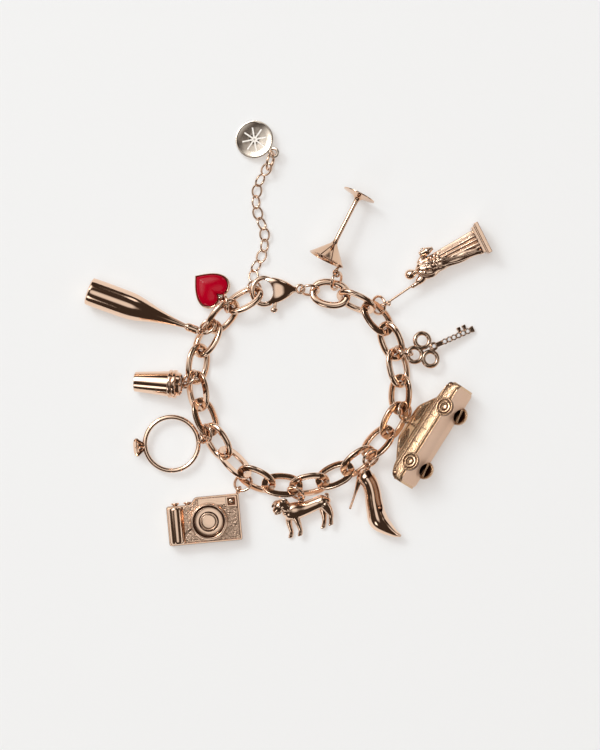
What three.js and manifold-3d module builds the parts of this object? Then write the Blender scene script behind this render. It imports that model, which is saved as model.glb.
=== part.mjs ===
// A charm bracelet of oval belcher links with a lobster clasp, an extender chain with a round tag,
// and eleven charms on jump rings, lying closed on a flat surface.
// Lengths are in millimetres and angles in degrees. +Z is up, away from the surface.

import * as THREE from 'three';
import { mergeVertices } from 'three/addons/utils/BufferGeometryUtils.js';
import Module from 'manifold-3d';

const wasm = await Module();
wasm.setup();

// Fits
const clearance = 0.15; // between two rings that hang in each other
const linkPlay = 0.6; // free travel of a link in the next one, past the curve of its band
const seatGap = 0.12; // round a stone or enamel in its seat
const leverGap = 0.3; // round the clasp's lever in its slot

// Main chain
const chainLength = 171.84; // of the main chain, from its first joint to its last
const linkCount = 21;
const linkWidth = 8.3;
const linkWall = 1.25; // band's thickness, measured outward from the link's opening
const linkBand = 2.2; // band's width
const linkInnerBand = 1.85; // width of the band's inner face
const linkSteps = 12;
const linkPitch = chainLength / linkCount;
const linkSlack = linkBand ** 2 / (4 * (linkWidth / 2 - linkWall)) + linkPlay;
const linkLength = linkPitch + 2 * linkWall + linkSlack; // outer

// Jump rings
const jumpDiameter = 6.15; // outer
const jumpWire = 0.85;
const jumpSteps = 10;

// Ears of the charms
const earDiameter = 2.6; // outer
const earWire = 0.7;
const earPost = 0.8; // diameter of the short post between an ear and its charm

// Lobster clasp
const hookLength = 7.2; // of the hook's centre line, along the clasp
const hookHeight = 8;
const hookWire = 1.3;
const hookMouth = 62; // angle where the hook ends and the gate begins
const claspNeck = 12.2; // from the hook's inner face to the end of the body
const bodyWidth = 6.9;
const bodyDepth = 3.2;
const eyeletReach = 13.7; // from the hook's inner face to the eyelet's centre
const eyeletDiameter = 3.2;
const eyeletWire = 0.8;
const eyeletLift = 2.6; // height of the eyelet's centre
const chainLift = 2.8; // height of the chain's end in the clasp's jump ring
const leverDepth = 1;
const leverArm = 1.1; // width of the lever's gate and tab
const leverHub = 1.9; // diameter
const pivotReach = 6.9; // from the hook's inner face to the lever's pivot
const tabReach = 6.3; // from the pivot to the thumb tab's end
const leverTravel = 26; // degrees

// Extender and tag
const extenderLinks = 12;
const extenderLength = 4.4; // outer, of one small link
const extenderWidth = 3.4;
const extenderWire = 0.62;
const firstLinkDiameter = 4.8; // outer, of the ring that starts the extender
const extenderLift = 2.9; // height of its end in the tag's jump ring
const extenderFall = 0.6; // in height from one small link to the next
const extenderBite = 0.2; // how far two soldered links sink into each other
const tagDiameter = 11.4;
const tagThickness = 0.9;
const lugDiameter = 3.5;
const lugWire = 0.95;

// Charms
const glassLength = 21.9;
const glassRim = 11.3;
const glassFoot = 10;
const glassBowl = 5.4; // depth of the cone
const glassStem = 1.2;
const glassPost = 1.5; // from the glass's ear to its rim
const figureHeight = 26.4; // from the plinth's underside to the head's top
const plinthWidth = 10;
const plinthDepth = 7.4;
const plinthStep = 1.5; // height of its lower step
const keyLoop = 5.7; // outer diameter of each of the bow's three loops
const keyWire = 1.2;
const keyShaft = 12.6;
const keyShaftWidth = 1.5;
const keyTooth = 2.3;
const keyThickness = 1.3;
const keyStone = 1.15; // diameter
const keyStonePitch = 1.55;
const keyStoneCount = 6;
const carLength = 33.2;
const carWidth = 10;
const carHeight = 9.6;
const carRoll = 54; // how far the belly plate leans from level, lying on its side
const carWheel = 5.6;
const carTyre = 1; // width of a wheel, half of it proud of the side
const carAxle = 0.3; // height of the wheels' middles above the belly plate
const carWell = 4.2; // diameter of the open wheel wells on the far side
const shoeLength = 24;
const shoeWidth = 7;
const dogLength = 17;
const dogDepth = 4.6;
const cameraLength = 21.9;
const cameraHeight = 13.9;
const cameraDepth = 4.2;
const cameraGrip = 4.8;
const cameraLens = 11;
const cameraBarrel = 2.6; // how far the lens stands out of the body
const fingerRing = 17.4; // outer diameter
const fingerRingWire = 1.4;
const fingerRingTilt = 6; // degrees, propped on its brilliant
const brilliantWidth = 5.6;
const brilliantDepth = 3.2;
const cupLength = 14;
const cupLid = 8.5;
const cupBase = 5.9;
const bottleLength = 31.4;
const bottleDiameter = 8.4;
const bottleNeck = 1.4;
const corkLength = 3.6;
const corkDiameter = 2.5;
const heartSize = 11.4;
const heartDepth = 1.9;
const heartWall = 0.55; // metal round and under the enamel
const enamelDome = 1; // how far the enamel stands above its tray

// The chain's route, from the clasp's jump ring clockwise round to the hook: joints chosen by hand,
// in shares of the loop's half width. The loop is scaled until its links fill it.
const chainRoute = [
  [0.19, 0.975], [0.73, 0.788], [0.97, 0.353], [1.01, -0.207], [0.715, -0.621], [0.258, -0.913],
  [-0.302, -0.943], [-0.691, -0.677], [-0.954, -0.199], [-0.985, 0.33], [-0.71, 0.76], [-0.48, 0.935],
];

// How far each link leans about its own length: above zero its edge inside the loop is the high one.
const linkLeans = [
  14, -58, 42, -42, 44, -44, 42, -44, 44, -42, 44, -42, 44, -56, 44, -44, 46, -44, 44, -44, 48,
];

// The extender's route from its first ring: points chosen by hand, in shares of the chain's length.
const extenderRoute = [
  [0, 0], [-0.005, 0.09], [0.06, 0.19], [0.082, 0.353], [0.014, 0.558], [0.04, 0.75], [0.145, 0.917],
  [0.17, 1.05],
];
const extenderLeans = [16, -44]; // the small links lean one way and the other by turns

// Where each charm's jump ring holds its link, and how ring and charm lie.
// link: number from the clasp's jump ring. at: angle round the link, 0 at its far end, -90 on the
// loop's outer side. heading, slope: the way and how steeply down the ring pulls. pull: how far the
// ring is drawn out, as a share. flat: how far the ring leans from square on the wire towards lying
// flat. lies: heading of the charm.
const hangings = [
  { name: 'martini_glass', link: 1, at: 280, heading: 90, slope: -30, pull: 1, flat: 0.3, lies: 153.2 },
  { name: 'statue_figure', link: 3, at: 240, heading: 10, slope: -45, pull: 1, flat: 0.9, lies: 116.5 },
  { name: 'key', link: 4, at: 310, heading: 340, slope: 10, pull: 1, flat: 0, lies: -66 },
  { name: 'car', link: 6, at: 330, heading: 270, slope: 0, pull: 0.3, flat: 0, lies: -32 },
  { name: 'shoe', link: 8, at: 330, heading: 250, slope: 15, pull: 0.3, flat: 0.3, lies: 0 },
  { name: 'dog', link: 12, at: 220, heading: 310, slope: 30, pull: 0.3, flat: 0.3, lies: 15 },
  { name: 'camera', link: 13, at: 300, heading: 240, slope: -15, pull: 1, flat: 0.6, lies: 5.3 },
  { name: 'finger_ring', link: 16, at: 210, heading: 250, slope: 30, pull: 0, flat: 0.3, lies: 6 },
  { name: 'cup', link: 18, at: 220, heading: 230, slope: 0, pull: 0.6, flat: 0, lies: -93.5 },
  { name: 'bottle', link: 20, at: 210, heading: 220, slope: 0, pull: 0.6, flat: 0, lies: -110 },
  { name: 'heart', link: 20, at: 310, heading: 120, slope: 60, pull: 0, flat: 0.3, lies: -130 },
];

const tagHanging = { at: 0, heading: 75, slope: 0, pull: 0.9, flat: 0, lies: -125 };
const extenderHanging = { at: -35, heading: 115, slope: 0, pull: 0.5, flat: 0.5 };

const up = new THREE.Vector3(0, 0, 1);
const rad = THREE.MathUtils.degToRad;

// Geometry helpers

// A closed ring: a section swept round an oval. The section is a list of [outward, along the axis].
function ringGeometry({ halfLength, halfWidth, squareness = 2, section, steps }) {
  const positions = [];
  for (let i = 0; i < steps; i += 1) {
    const { point, out } = ovalPoint({ halfLength, halfWidth, squareness }, (i * 360) / steps);
    for (const [outward, along] of section) {
      positions.push(point.x + outward * out.x, point.y + outward * out.y, along);
    }
  }
  return strips(positions, steps, section.length, true);
}

// The point of an oval at an angle, and the way out of it there.
function ovalPoint({ halfLength, halfWidth, squareness }, degrees) {
  const c = Math.cos(rad(degrees));
  const s = Math.sin(rad(degrees));
  const share = (value) => Math.sign(value) * Math.abs(value) ** (2 / squareness);
  const steep = (value) => Math.sign(value) * Math.abs(share(value)) ** (squareness - 1);
  return {
    point: new THREE.Vector3(halfLength * share(c), halfWidth * share(s), 0),
    out: new THREE.Vector3(steep(c) / halfLength, steep(s) / halfWidth, 0).normalize(),
  };
}

// Rows of points joined by triangles, either closed into a ring or capped at both ends.
function strips(positions, rows, sides, closed) {
  const index = [];
  const corner = (row, side) => (row % rows) * sides + (side % sides);
  for (let row = 0; row < (closed ? rows : rows - 1); row += 1) {
    for (let side = 0; side < sides; side += 1) {
      index.push(corner(row, side), corner(row + 1, side), corner(row, side + 1));
      index.push(corner(row, side + 1), corner(row + 1, side), corner(row + 1, side + 1));
    }
  }
  for (let side = 1; !closed && side < sides - 1; side += 1) {
    index.push(corner(0, 0), corner(0, side), corner(0, side + 1));
    index.push(corner(rows - 1, 0), corner(rows - 1, side + 1), corner(rows - 1, side));
  }
  const geometry = new THREE.BufferGeometry();
  geometry.setAttribute('position', new THREE.Float32BufferAttribute(positions, 3));
  geometry.setIndex(index);
  return geometry;
}

// A closed solid through ellipses whose centres lie along a path.
// Rows are [x, y, z, half width beside the path, half height], in the given unit.
function loft(rows, sides, unit = 1) {
  const centre = (i) => new THREE.Vector2(rows[i][0], rows[i][1]);
  const positions = [];
  rows.forEach(([x, y, z, half, high], i) => {
    const way = centre(Math.min(i + 1, rows.length - 1)).sub(centre(Math.max(i - 1, 0))).normalize();
    for (let side = 0; side < sides; side += 1) {
      const angle = (side * 2 * Math.PI) / sides;
      const beside = half * Math.cos(angle);
      positions.push((x + beside * way.y) * unit, (y - beside * way.x) * unit);
      positions.push((z + high * Math.sin(angle)) * unit);
    }
  });
  return strips(positions, rows.length, sides, false);
}

// A round section with its first corner outward.
function roundSection(diameter, sides) {
  return Array.from({ length: sides }, (_, i) => {
    const angle = (i * 2 * Math.PI) / sides;
    return [(diameter / 2) * Math.cos(angle), (diameter / 2) * Math.sin(angle)];
  });
}

// A round profile turned about +Y. Rows are [radius, height].
function turned(rows, sides) {
  return new THREE.LatheGeometry(rows.map(([radius, height]) => new THREE.Vector2(radius, height)), sides);
}

// A flat outline with height. Its rounding takes nothing off its outer size.
function plate(shape, depth, { round = 0, curveSegments = 6 } = {}) {
  const bevel = { bevelEnabled: round > 0, bevelSize: round, bevelThickness: round, bevelOffset: -round };
  const settings = { depth: depth - 2 * round, curveSegments, bevelSegments: 1, ...bevel };
  return new THREE.ExtrudeGeometry(shape, settings).translate(0, 0, round);
}

function box(width, height, depth) {
  return new THREE.BoxGeometry(width, height, depth);
}

function place(x, y, z, turnX = 0, turnY = 0, turnZ = 0) {
  const turn = new THREE.Euler(rad(turnX), rad(turnY), rad(turnZ), 'ZYX');
  return new THREE.Matrix4().makeRotationFromEuler(turn).setPosition(x, y, z);
}

// Solids: joined and cut by manifold-3d, with places given as matrices.

function solid(geometry, at = new THREE.Matrix4()) {
  const moved = geometry.clone().applyMatrix4(at);
  moved.deleteAttribute('normal');
  moved.deleteAttribute('uv');
  const bare = mergeVertices(moved, 1e-4);
  const vertProperties = new Float32Array(bare.attributes.position.array);
  const triVerts = new Uint32Array(bare.index.array);
  return new wasm.Manifold(new wasm.Mesh({ numProp: 3, vertProperties, triVerts }));
}

function joined(...parts) {
  return parts.reduce((whole, part) => whole.add(part));
}

function geometryOf(body) {
  const { vertProperties, triVerts } = body.getMesh();
  const geometry = new THREE.BufferGeometry();
  geometry.setAttribute('position', new THREE.Float32BufferAttribute(vertProperties, 3));
  geometry.setIndex(new THREE.Uint32BufferAttribute(triVerts, 1));
  return geometry;
}

// A ring's shape as other pieces need it, and its own geometry.
const linkRing = {
  halfLength: (linkLength - linkWall) / 2,
  halfWidth: (linkWidth - linkWall) / 2,
  squareness: 2.25,
  steps: linkSteps,
  section: [
    [-0.5, -linkInnerBand / 2], [0.05, -linkBand / 2], [0.5, -linkBand / 4],
    [0.5, linkBand / 4], [0.05, linkBand / 2], [-0.5, linkInnerBand / 2],
  ].map(([outward, along]) => [outward * linkWall, along]),
};

function roundRing(diameter, wire, steps, sides = 5) {
  const half = (diameter - wire) / 2;
  const section = roundSection(wire, sides);
  return { halfLength: half, halfWidth: half, squareness: 2, steps, wire, section };
}

const jumpRing = roundRing(jumpDiameter, jumpWire, jumpSteps);
const charmEar = roundRing(earDiameter, earWire, 10);
const keyEar = roundRing(keyLoop, keyWire, 14);
const tagLug = roundRing(lugDiameter, lugWire, 12);
const firstLink = roundRing(firstLinkDiameter, extenderWire, 12);
const smallLink = {
  halfLength: (extenderLength - extenderWire) / 2,
  halfWidth: (extenderWidth - extenderWire) / 2,
  squareness: 2,
  steps: 10,
  wire: extenderWire,
  section: roundSection(extenderWire, 5),
};

// The smallest inner radius of a ring, between two of its corners.
function innerRadius(ring) {
  return (ring.halfWidth - ring.wire / 2) * Math.cos(Math.PI / ring.steps);
}

// The chain's run

// Frame of a link from one joint to the next: X along it, Y across it to the loop's inside.
function linkPlace(from, to, lean) {
  const along = to.clone().sub(from).normalize();
  const level = along.clone().cross(up).normalize();
  const across = level.clone().multiplyScalar(Math.cos(rad(lean)));
  across.addScaledVector(level.clone().cross(along), Math.sin(rad(lean)));
  const frame = new THREE.Matrix4().makeBasis(along, across, along.clone().cross(across));
  return frame.setPosition(from.clone().add(to).multiplyScalar(0.5));
}

// How high a leaning ring's centre must be for it to lie on the surface.
function restHeight(ring, lean) {
  const reach = ring.section.map(([outward, along]) => {
    const edge = (ring.halfWidth + outward) * Math.abs(Math.sin(rad(lean)));
    return edge + Math.abs(along) * Math.cos(rad(lean));
  });
  return Math.max(...reach);
}

// Joints at equal distances along a curve, each as high as the rings that meet there need.
function walk(curve, count, pitch, heights) {
  const joints = [];
  let share = 0;
  for (let i = 0; i <= count; i += 1) {
    const flat = curve.getPoint(share);
    joints.push(new THREE.Vector3(flat.x, flat.y, heights[i]));
    let near = share;
    let far = Math.min(share + 0.25, 1);
    for (let step = 0; step < 40; step += 1) {
      const middle = (near + far) / 2;
      const next = curve.getPoint(middle);
      const short = Math.hypot(next.x - flat.x, next.y - flat.y, (heights[i + 1] ?? heights[i]) - heights[i]);
      if (short < pitch) near = middle;
      else far = middle;
    }
    share = near;
  }
  return joints;
}

const linkHeights = linkLeans.map((lean) => restHeight(linkRing, lean));
const jointHeights = Array.from({ length: linkCount + 1 }, (_, i) => {
  return Math.max(linkHeights[i - 1] ?? chainLift, linkHeights[i] ?? 0);
});

const endReach = (linkSlack + linkWall) / 2; // from a joint to the centre of the wire behind it
const hookSeat = linkWall / 2 + linkBand / 3.5 + clearance; // from the hook's inner face to the link in it
const eyeletRing = roundRing(eyeletDiameter, eyeletWire, 12);
const ringSeat = innerRadius(eyeletRing) - jumpWire / 2 - clearance;
const ringHold = innerRadius(jumpRing) - clearance;
const ringReach = Math.sqrt(ringHold ** 2 - (linkBand / 2) ** 2) - linkWall / 2;

// Both ends of the chain, where the clasp and its jump ring take hold.
function chainEnds(joints) {
  const last = joints.length - 1;
  const start = joints[0].clone().sub(joints[1]).setLength(endReach).add(joints[0]);
  const end = joints[last].clone().sub(joints[last - 1]).setLength(endReach).add(joints[last]);
  return { start, end };
}

// Where the eyelet lies between the chain's two ends, and how far the clasp falls short of closing it.
function closing(joints) {
  const { start, end } = chainEnds(joints);
  const level = (length, rise) => Math.sqrt(length ** 2 - rise ** 2);
  const claspSpan = level(eyeletReach - hookSeat, end.z - eyeletLift);
  const ringSpan = level(ringSeat + jumpRing.halfWidth + ringReach, start.z - eyeletLift);
  const gap = Math.hypot(start.x - end.x, start.y - end.y);
  const eyelet = end.clone().lerp(start, claspSpan / gap).setZ(eyeletLift);
  return { start, end, eyelet, shortfall: gap - claspSpan - ringSpan };
}

function loopJoints(scale) {
  const points = chainRoute.map(([x, y]) => new THREE.Vector3(x * scale, y * scale, 0));
  const curve = new THREE.CatmullRomCurve3(points, true, 'centripetal');
  return walk(curve, linkCount, linkPitch, jointHeights);
}

// The loop's half width, found by halving until the clasp just closes it.
function fittedLoop() {
  let small = (linkCount * linkPitch) / 8;
  let large = (linkCount * linkPitch) / 4;
  for (let step = 0; step < 40; step += 1) {
    const middle = (small + large) / 2;
    if (closing(loopJoints(middle)).shortfall > 0) large = middle;
    else small = middle;
  }
  return loopJoints(small);
}

const joints = fittedLoop();
const { start, end, eyelet } = closing(joints);
const links = linkLeans.map((lean, i) => ({ ring: linkRing, at: linkPlace(joints[i], joints[i + 1], lean) }));

// Hanging: a jump ring round a link's wire, and an ear in the jump ring.

// The wire of a placed ring at an angle round it.
function wireOf({ ring, at }, degrees) {
  const { point, out } = ovalPoint(ring, degrees);
  const away = out.clone().transformDirection(at);
  const axis = up.clone().transformDirection(at);
  const tangent = axis.clone().cross(away);
  if (tangent.z < 0) tangent.negate();
  return { point: point.applyMatrix4(at), away, axis, tangent };
}

function headed(heading, slope) {
  const level = new THREE.Vector3(Math.cos(rad(heading)), Math.sin(rad(heading)), 0);
  return level.multiplyScalar(Math.cos(rad(slope))).setZ(-Math.sin(rad(slope)));
}

// How far a ring's centre can lie from a wire in it before the wire's section meets the ring.
function reachInRing(wire, section, pull, normal, radius) {
  const offsets = section.map(([outward, along]) => {
    const corner = wire.away.clone().multiplyScalar(outward).addScaledVector(wire.axis, along);
    corner.addScaledVector(wire.tangent, -corner.dot(normal) / wire.tangent.dot(normal));
    const forward = corner.dot(pull);
    const aside = corner.lengthSq() - forward ** 2;
    return forward + Math.sqrt(Math.max(radius ** 2 - aside, 0));
  });
  return Math.min(...offsets);
}

// A ring hung on a carrier's wire, and the centre and axis of the ear that hangs in it.
function hang(carrier, { at, heading, slope, pull, flat }, ring, ear) {
  const wire = wireOf(carrier, at);
  const way = headed(heading, slope);
  const normal = wire.tangent.clone().multiplyScalar(1 - flat).addScaledVector(up, flat);
  normal.addScaledVector(way, -normal.dot(way)).normalize();
  const reach = reachInRing(wire, carrier.ring.section, way, normal, innerRadius(ring) - clearance);
  const centre = wire.point.clone().addScaledVector(way, pull * reach);
  const earReach = innerRadius(ring) - clearance - ear.wire / 2 + ear.halfWidth;
  const frame = new THREE.Matrix4().makeBasis(way, normal.clone().cross(way), normal).setPosition(centre);
  return {
    ringPlace: frame,
    ear: centre.clone().addScaledVector(way, earReach),
    earAxis: way.clone().cross(normal).normalize(),
  };
}

// A charm turned to its heading and tipped about its ear until it touches the surface.
function lying(charm, earAt, heading) {
  const turn = new THREE.Quaternion().setFromAxisAngle(up, rad(heading));
  const inward = charm.inward.clone().setZ(0).applyQuaternion(turn);
  const hinge = inward.cross(up).normalize();
  const posed = (tip) => {
    const whole = new THREE.Quaternion().setFromAxisAngle(hinge, -rad(tip)).multiply(turn);
    const position = earAt.clone().sub(charm.ear.clone().applyQuaternion(whole));
    return new THREE.Matrix4().compose(position, whole, new THREE.Vector3(1, 1, 1));
  };
  let low = 0;
  let high = 60;
  for (let step = 0; step < 30; step += 1) {
    const middle = (low + high) / 2;
    const lowest = charm.body.transform(posed(middle).elements).boundingBox().min[2];
    if (lowest > 0) low = middle;
    else high = middle;
  }
  return posed(low);
}

// The ear in a charm's own frame, with a post into the charm.
function earSolid(charm, ring, axis) {
  const toCharm = charm.inward.clone().addScaledVector(axis, -charm.inward.dot(axis)).normalize();
  const frame = new THREE.Matrix4().makeBasis(toCharm, axis.clone().cross(toCharm), axis);
  const loop = solid(ringGeometry(ring), frame.setPosition(charm.ear));
  const foot = charm.ear.clone().addScaledVector(toCharm, ring.halfWidth);
  const turn = new THREE.Quaternion().setFromUnitVectors(new THREE.Vector3(0, 1, 0), charm.inward);
  const middle = foot.clone().addScaledVector(charm.inward, charm.post / 2);
  const at = new THREE.Matrix4().compose(middle, turn, new THREE.Vector3(1, 1, 1));
  return loop.add(solid(new THREE.CylinderGeometry(earPost / 2, earPost / 2, charm.post, 6), at));
}

// Charms. Each lies in its own frame as it lies on the surface, and gives its body, its ear's centre,
// the way from the ear into the charm, and the length of the ear's post.

function charm(body, ear, inward, post = 0.8) {
  return { body, ear: new THREE.Vector3(...ear), inward: new THREE.Vector3(...inward).normalize(), post };
}

function martiniGlass() {
  const rim = glassRim / 2;
  const stem = glassStem / 2;
  const bowlFoot = glassLength - glassBowl;
  const drink = glassLength - 0.7;
  const profile = [
    [0, 0], [glassFoot / 2, 0], [glassFoot / 2, 0.4], [stem * 2, 1], [stem, 2.2], [stem, bowlFoot - 1],
    [stem * 1.4, bowlFoot], [rim, glassLength], [rim - 0.4, glassLength], [rim - 1, drink], [0, drink],
  ];
  const axis = place(0, 0, rim);
  const glass = solid(turned(profile, 14), axis);
  const olive = solid(new THREE.SphereGeometry(1, 8, 6), place(rim * 0.35, drink + 0.3, rim * 1.1));
  const earSide = -rim * 0.8;
  const earDrop = rim - Math.sqrt((rim - 0.2) ** 2 - earSide ** 2);
  const ear = [earSide, glassLength + earDiameter / 2 + glassPost - 0.8, earDrop];
  return charm(joined(glass, olive), ear, [0, -1, 0], glassPost);
}

// A robed figure on a stepped plinth, one arm raised with a staff and the other holding a jug.
function statueFigure() {
  const unit = figureHeight / 100;
  const middle = plinthDepth / 2;
  const deep = middle / unit;
  const robe = loft([
    [0, 9, deep, 12, 11], [0, 30, deep, 10.5, 9.5], [0, 55, deep, 9, 8.5], [-1, 70, deep, 9.5, 8],
    [-1, 81, deep, 10, 7], [0, 86, deep, 3, 3],
  ], 12, unit);
  const head = loft([
    [0, 84, deep, 2.6, 2.6], [0, 88, deep, 4.6, 5], [0, 94, deep, 5, 5.5], [0, 99, deep, 3, 3.5],
  ], 8, unit);
  const staffArm = loft([
    [-8, 80, deep, 3, 3], [-12, 90, deep, 2.6, 2.6], [-14, 97, deep, 2.4, 2.4],
  ], 6, unit);
  const staff = loft([
    [-11.5, 88, deep, 1.9, 1.9], [-17, 132, deep, 1.9, 1.9],
  ], 6, unit);
  const jugArm = loft([
    [7, 78, deep, 3.2, 3.2], [13, 68, deep + 2, 2.8, 2.8], [12, 64, deep + 4, 2.4, 2.4],
  ], 6, unit);
  const jug = loft([
    [14, 60, deep + 3, 3, 3], [15, 66, deep + 3, 4.6, 4.6],
    [16, 71, deep + 3, 3, 3], [16.5, 75, deep + 3, 3.8, 3.8],
  ], 8, unit);
  const step = solid(box(plinthWidth, plinthStep, plinthDepth), place(0, plinthStep / 2, middle));
  const upperStep = box(plinthWidth * 0.84, plinthStep * 0.87, plinthDepth * 0.84);
  const upper = solid(upperStep, place(0, plinthStep * 1.27, middle));
  const body = joined(step, upper, ...[robe, head, staffArm, staff, jugArm, jug].map((part) => solid(part)));
  const tip = [-17.4 * unit, 135.5 * unit, middle];
  return charm(body, tip, [0.15, -1, 0]);
}

const keyStoneSeats = [0, ...Array.from({ length: keyStoneCount }, (_, i) => {
  return keyShaft - (keyStoneCount - 0.2 - i) * keyStonePitch;
})];

// A flat key: a bow of three loops, the first its ear, and stones set along the shaft.
function key() {
  const spread = keyLoop * 0.53;
  const middle = keyThickness / 2;
  const loopSolid = (x, y) => solid(ringGeometry(keyEar), place(x, y, middle));
  const shaft = solid(box(keyShaftWidth, keyShaft, keyThickness), place(0, keyShaft * 0.548, middle));
  const tooth = box(keyTooth, keyTooth * 0.4, keyThickness * 0.8);
  const teeth = [0.73, 0.87].map((share) => {
    return solid(tooth, place(-keyShaftWidth * 0.67, keyShaft * share, middle));
  });
  const cups = keyStoneSeats.map((y) => {
    const cup = new THREE.CylinderGeometry(keyStone * 0.78, keyStone * 0.7, keyThickness, 6);
    return solid(cup, place(0, y, middle + 0.2, 90));
  });
  const collarRadius = keyLoop * 0.22;
  const collarRound = new THREE.CylinderGeometry(collarRadius, collarRadius, keyThickness, 10);
  const collar = solid(collarRound, place(0, 0, middle, 90));
  const tipBar = box(keyShaftWidth * 1.25, keyShaftWidth * 0.6, keyThickness);
  const tip = solid(tipBar, place(0, keyShaft * 1.032, middle));
  const drop = keyLoop * 0.42;
  const bow = [loopSolid(-spread, -drop), loopSolid(spread, -drop), loopSolid(0, -keyLoop * 1.1)];
  const body = joined(shaft, collar, tip, ...bow, ...teeth, ...cups);
  const seat = new THREE.CylinderGeometry(keyStone / 2 + seatGap, keyStone / 2 + seatGap, keyThickness, 8);
  const seatFloor = keyThickness + 0.2 - keyStone * 0.55;
  const seats = keyStoneSeats.map((y) => solid(seat, place(0, y, seatFloor + keyThickness / 2, 90)));
  return {
    ...charm(seats.reduce((whole, cut) => whole.subtract(cut), body), [0, -keyLoop * 1.1, middle], [0, 1, 0]),
    earBuiltIn: true,
  };
}

// One cut stone: a flat table, eight crown facets round it and a pavilion below.
function stoneGeometry() {
  const half = keyStone / 2;
  const rows = [[0, 0], [half * 0.35, half * 0.12], [half, half * 0.6], [half * 0.6, half], [0, half]];
  return turned(rows, 8).rotateX(Math.PI / 2);
}

// A saloon car, rolled on its side so that its flat belly plate faces up and outward.
function car() {
  const unit = carLength / 100;
  const side = new THREE.Shape();
  side.moveTo(-50, 0);
  side.lineTo(50, 0);
  side.quadraticCurveTo(52, 8, 48, 12);
  side.lineTo(26, 15.5);
  side.lineTo(-34, 16);
  side.quadraticCurveTo(-50, 13, -51, 5);
  side.closePath();
  const hull = plate(side, carWidth / unit, { round: 3, curveSegments: 3 });
  const hullAt = place(carWidth / 2, 0, 0, 0, 0, 0).multiply(place(0, 0, 0, 90, 0, 90));
  const body = solid(hull.scale(unit, unit, unit).translate(0, 0, -carWidth), hullAt);
  const cabin = solid(cabinGeometry(unit));
  const wheelAt = [27, -30.5].map((y) => y * unit);
  const wheel = new THREE.CylinderGeometry(carWheel / 2, carWheel / 2, carTyre, 14);
  const onSide = (geometry, x, y) => solid(geometry, place(x, y, carAxle, 0, 0, 90));
  const wheels = wheelAt.flatMap((y) => [-1, 1].map((side) => onSide(wheel, (side * carWidth) / 2, y)));
  const far = -carWidth / 2;
  const well = new THREE.CylinderGeometry(carWell / 2, carWell / 2, carWidth * 0.44, 12);
  const wells = wheelAt.map((y) => onSide(well, far + carWidth * 0.23, y));
  const spokes = wheelAt.map((y) => solid(box(0.6, carWell, 0.6), place(far + 0.35, y, carAxle)));
  const cast = joined(body, cabin, ...wheels);
  const hollowed = wells.reduce((rest, cut) => rest.subtract(cut), cast);
  const whole = joined(hollowed, ...spokes);
  const roll = place(0, 0, 0, 0, 180 + carRoll, 0);
  const rolled = whole.transform(roll.elements);
  const floor = rolled.boundingBox().min[2];
  const ear = new THREE.Vector3(carWidth * 0.3, -0.5, carHeight + 1.3).applyMatrix4(roll);
  const intoRoof = new THREE.Vector3(0, 0, -1).transformDirection(roll);
  return charm(rolled.translate([0, 0, -floor]), [ear.x, ear.y, ear.z - floor], intoRoof.toArray(), 1.1);
}

// The car's cabin: narrower towards the roof, with raked screens.
function cabinGeometry(unit) {
  const rows = [
    { z: 14 * unit, front: 33, back: -40, half: carWidth * 0.46 },
    { z: carHeight * 0.8, front: 22, back: -27, half: carWidth * 0.41 },
    { z: carHeight, front: 15, back: -17, half: carWidth * 0.33 },
  ];
  const positions = rows.flatMap(({ z, front, back, half }) => [
    [-half, back * unit], [half, back * unit], [half, front * unit], [-half, front * unit],
  ].flatMap(([x, y]) => [x, y, z]));
  return flipped(strips(positions, rows.length, 4, false));
}

// The same geometry with each triangle turned over.
function flipped(geometry) {
  const index = geometry.index.array;
  for (let i = 0; i < index.length; i += 3) [index[i], index[i + 1]] = [index[i + 1], index[i]];
  return geometry;
}

// A pump with a high heel, lying on its side, hollow where the foot goes in.
function shoe() {
  const unit = shoeLength / 100;
  const half = shoeWidth / 2 / unit;
  const outer = solid(loft([
    [8.5, 85, half, 6, 7], [9.5, 76.7, half, 10.4, 12], [14.5, 67.9, half, 10.4, 12.5],
    [17.8, 56.7, half, 10.4, 13], [19.1, 47.1, half, 10.8, 13.5], [21.6, 33.8, half, 11.5, 14.3],
    [25.3, 22, half, 12.6, 14.5],
    [34.5, 13.3, half, 9.5, 12], [45.3, 5.8, half, 4.8, 7], [52.8, 2.5, half, 1.7, 2.5],
  ], 12, unit));
  const heel = solid(loft([
    [5, 80, half, 4, 6], [1.5, 73, half, 4.2, 5], [-2.5, 60, half, 2.2, 2.4], [-10.5, 36, half, 1.5, 1.7],
  ], 8, unit));
  const foot = solid(loft([
    [11.5, 84, half + 4, 2.5, 8], [14.2, 76.7, half + 4, 3.7, 11], [19.5, 67.9, half + 4, 3.8, 11.5],
    [22.8, 56.7, half + 4, 3.8, 12], [24.3, 47.1, half + 4, 3.9, 12], [27, 38, half + 4, 3.4, 11],
    [28.2, 33.5, half + 6, 1.8, 9],
  ], 10, unit));
  const body = outer.add(heel).subtract(foot);
  return charm(body, [12 * unit, 90.5 * unit, half * unit], [-0.3, -1, 0], 1);
}

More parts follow.
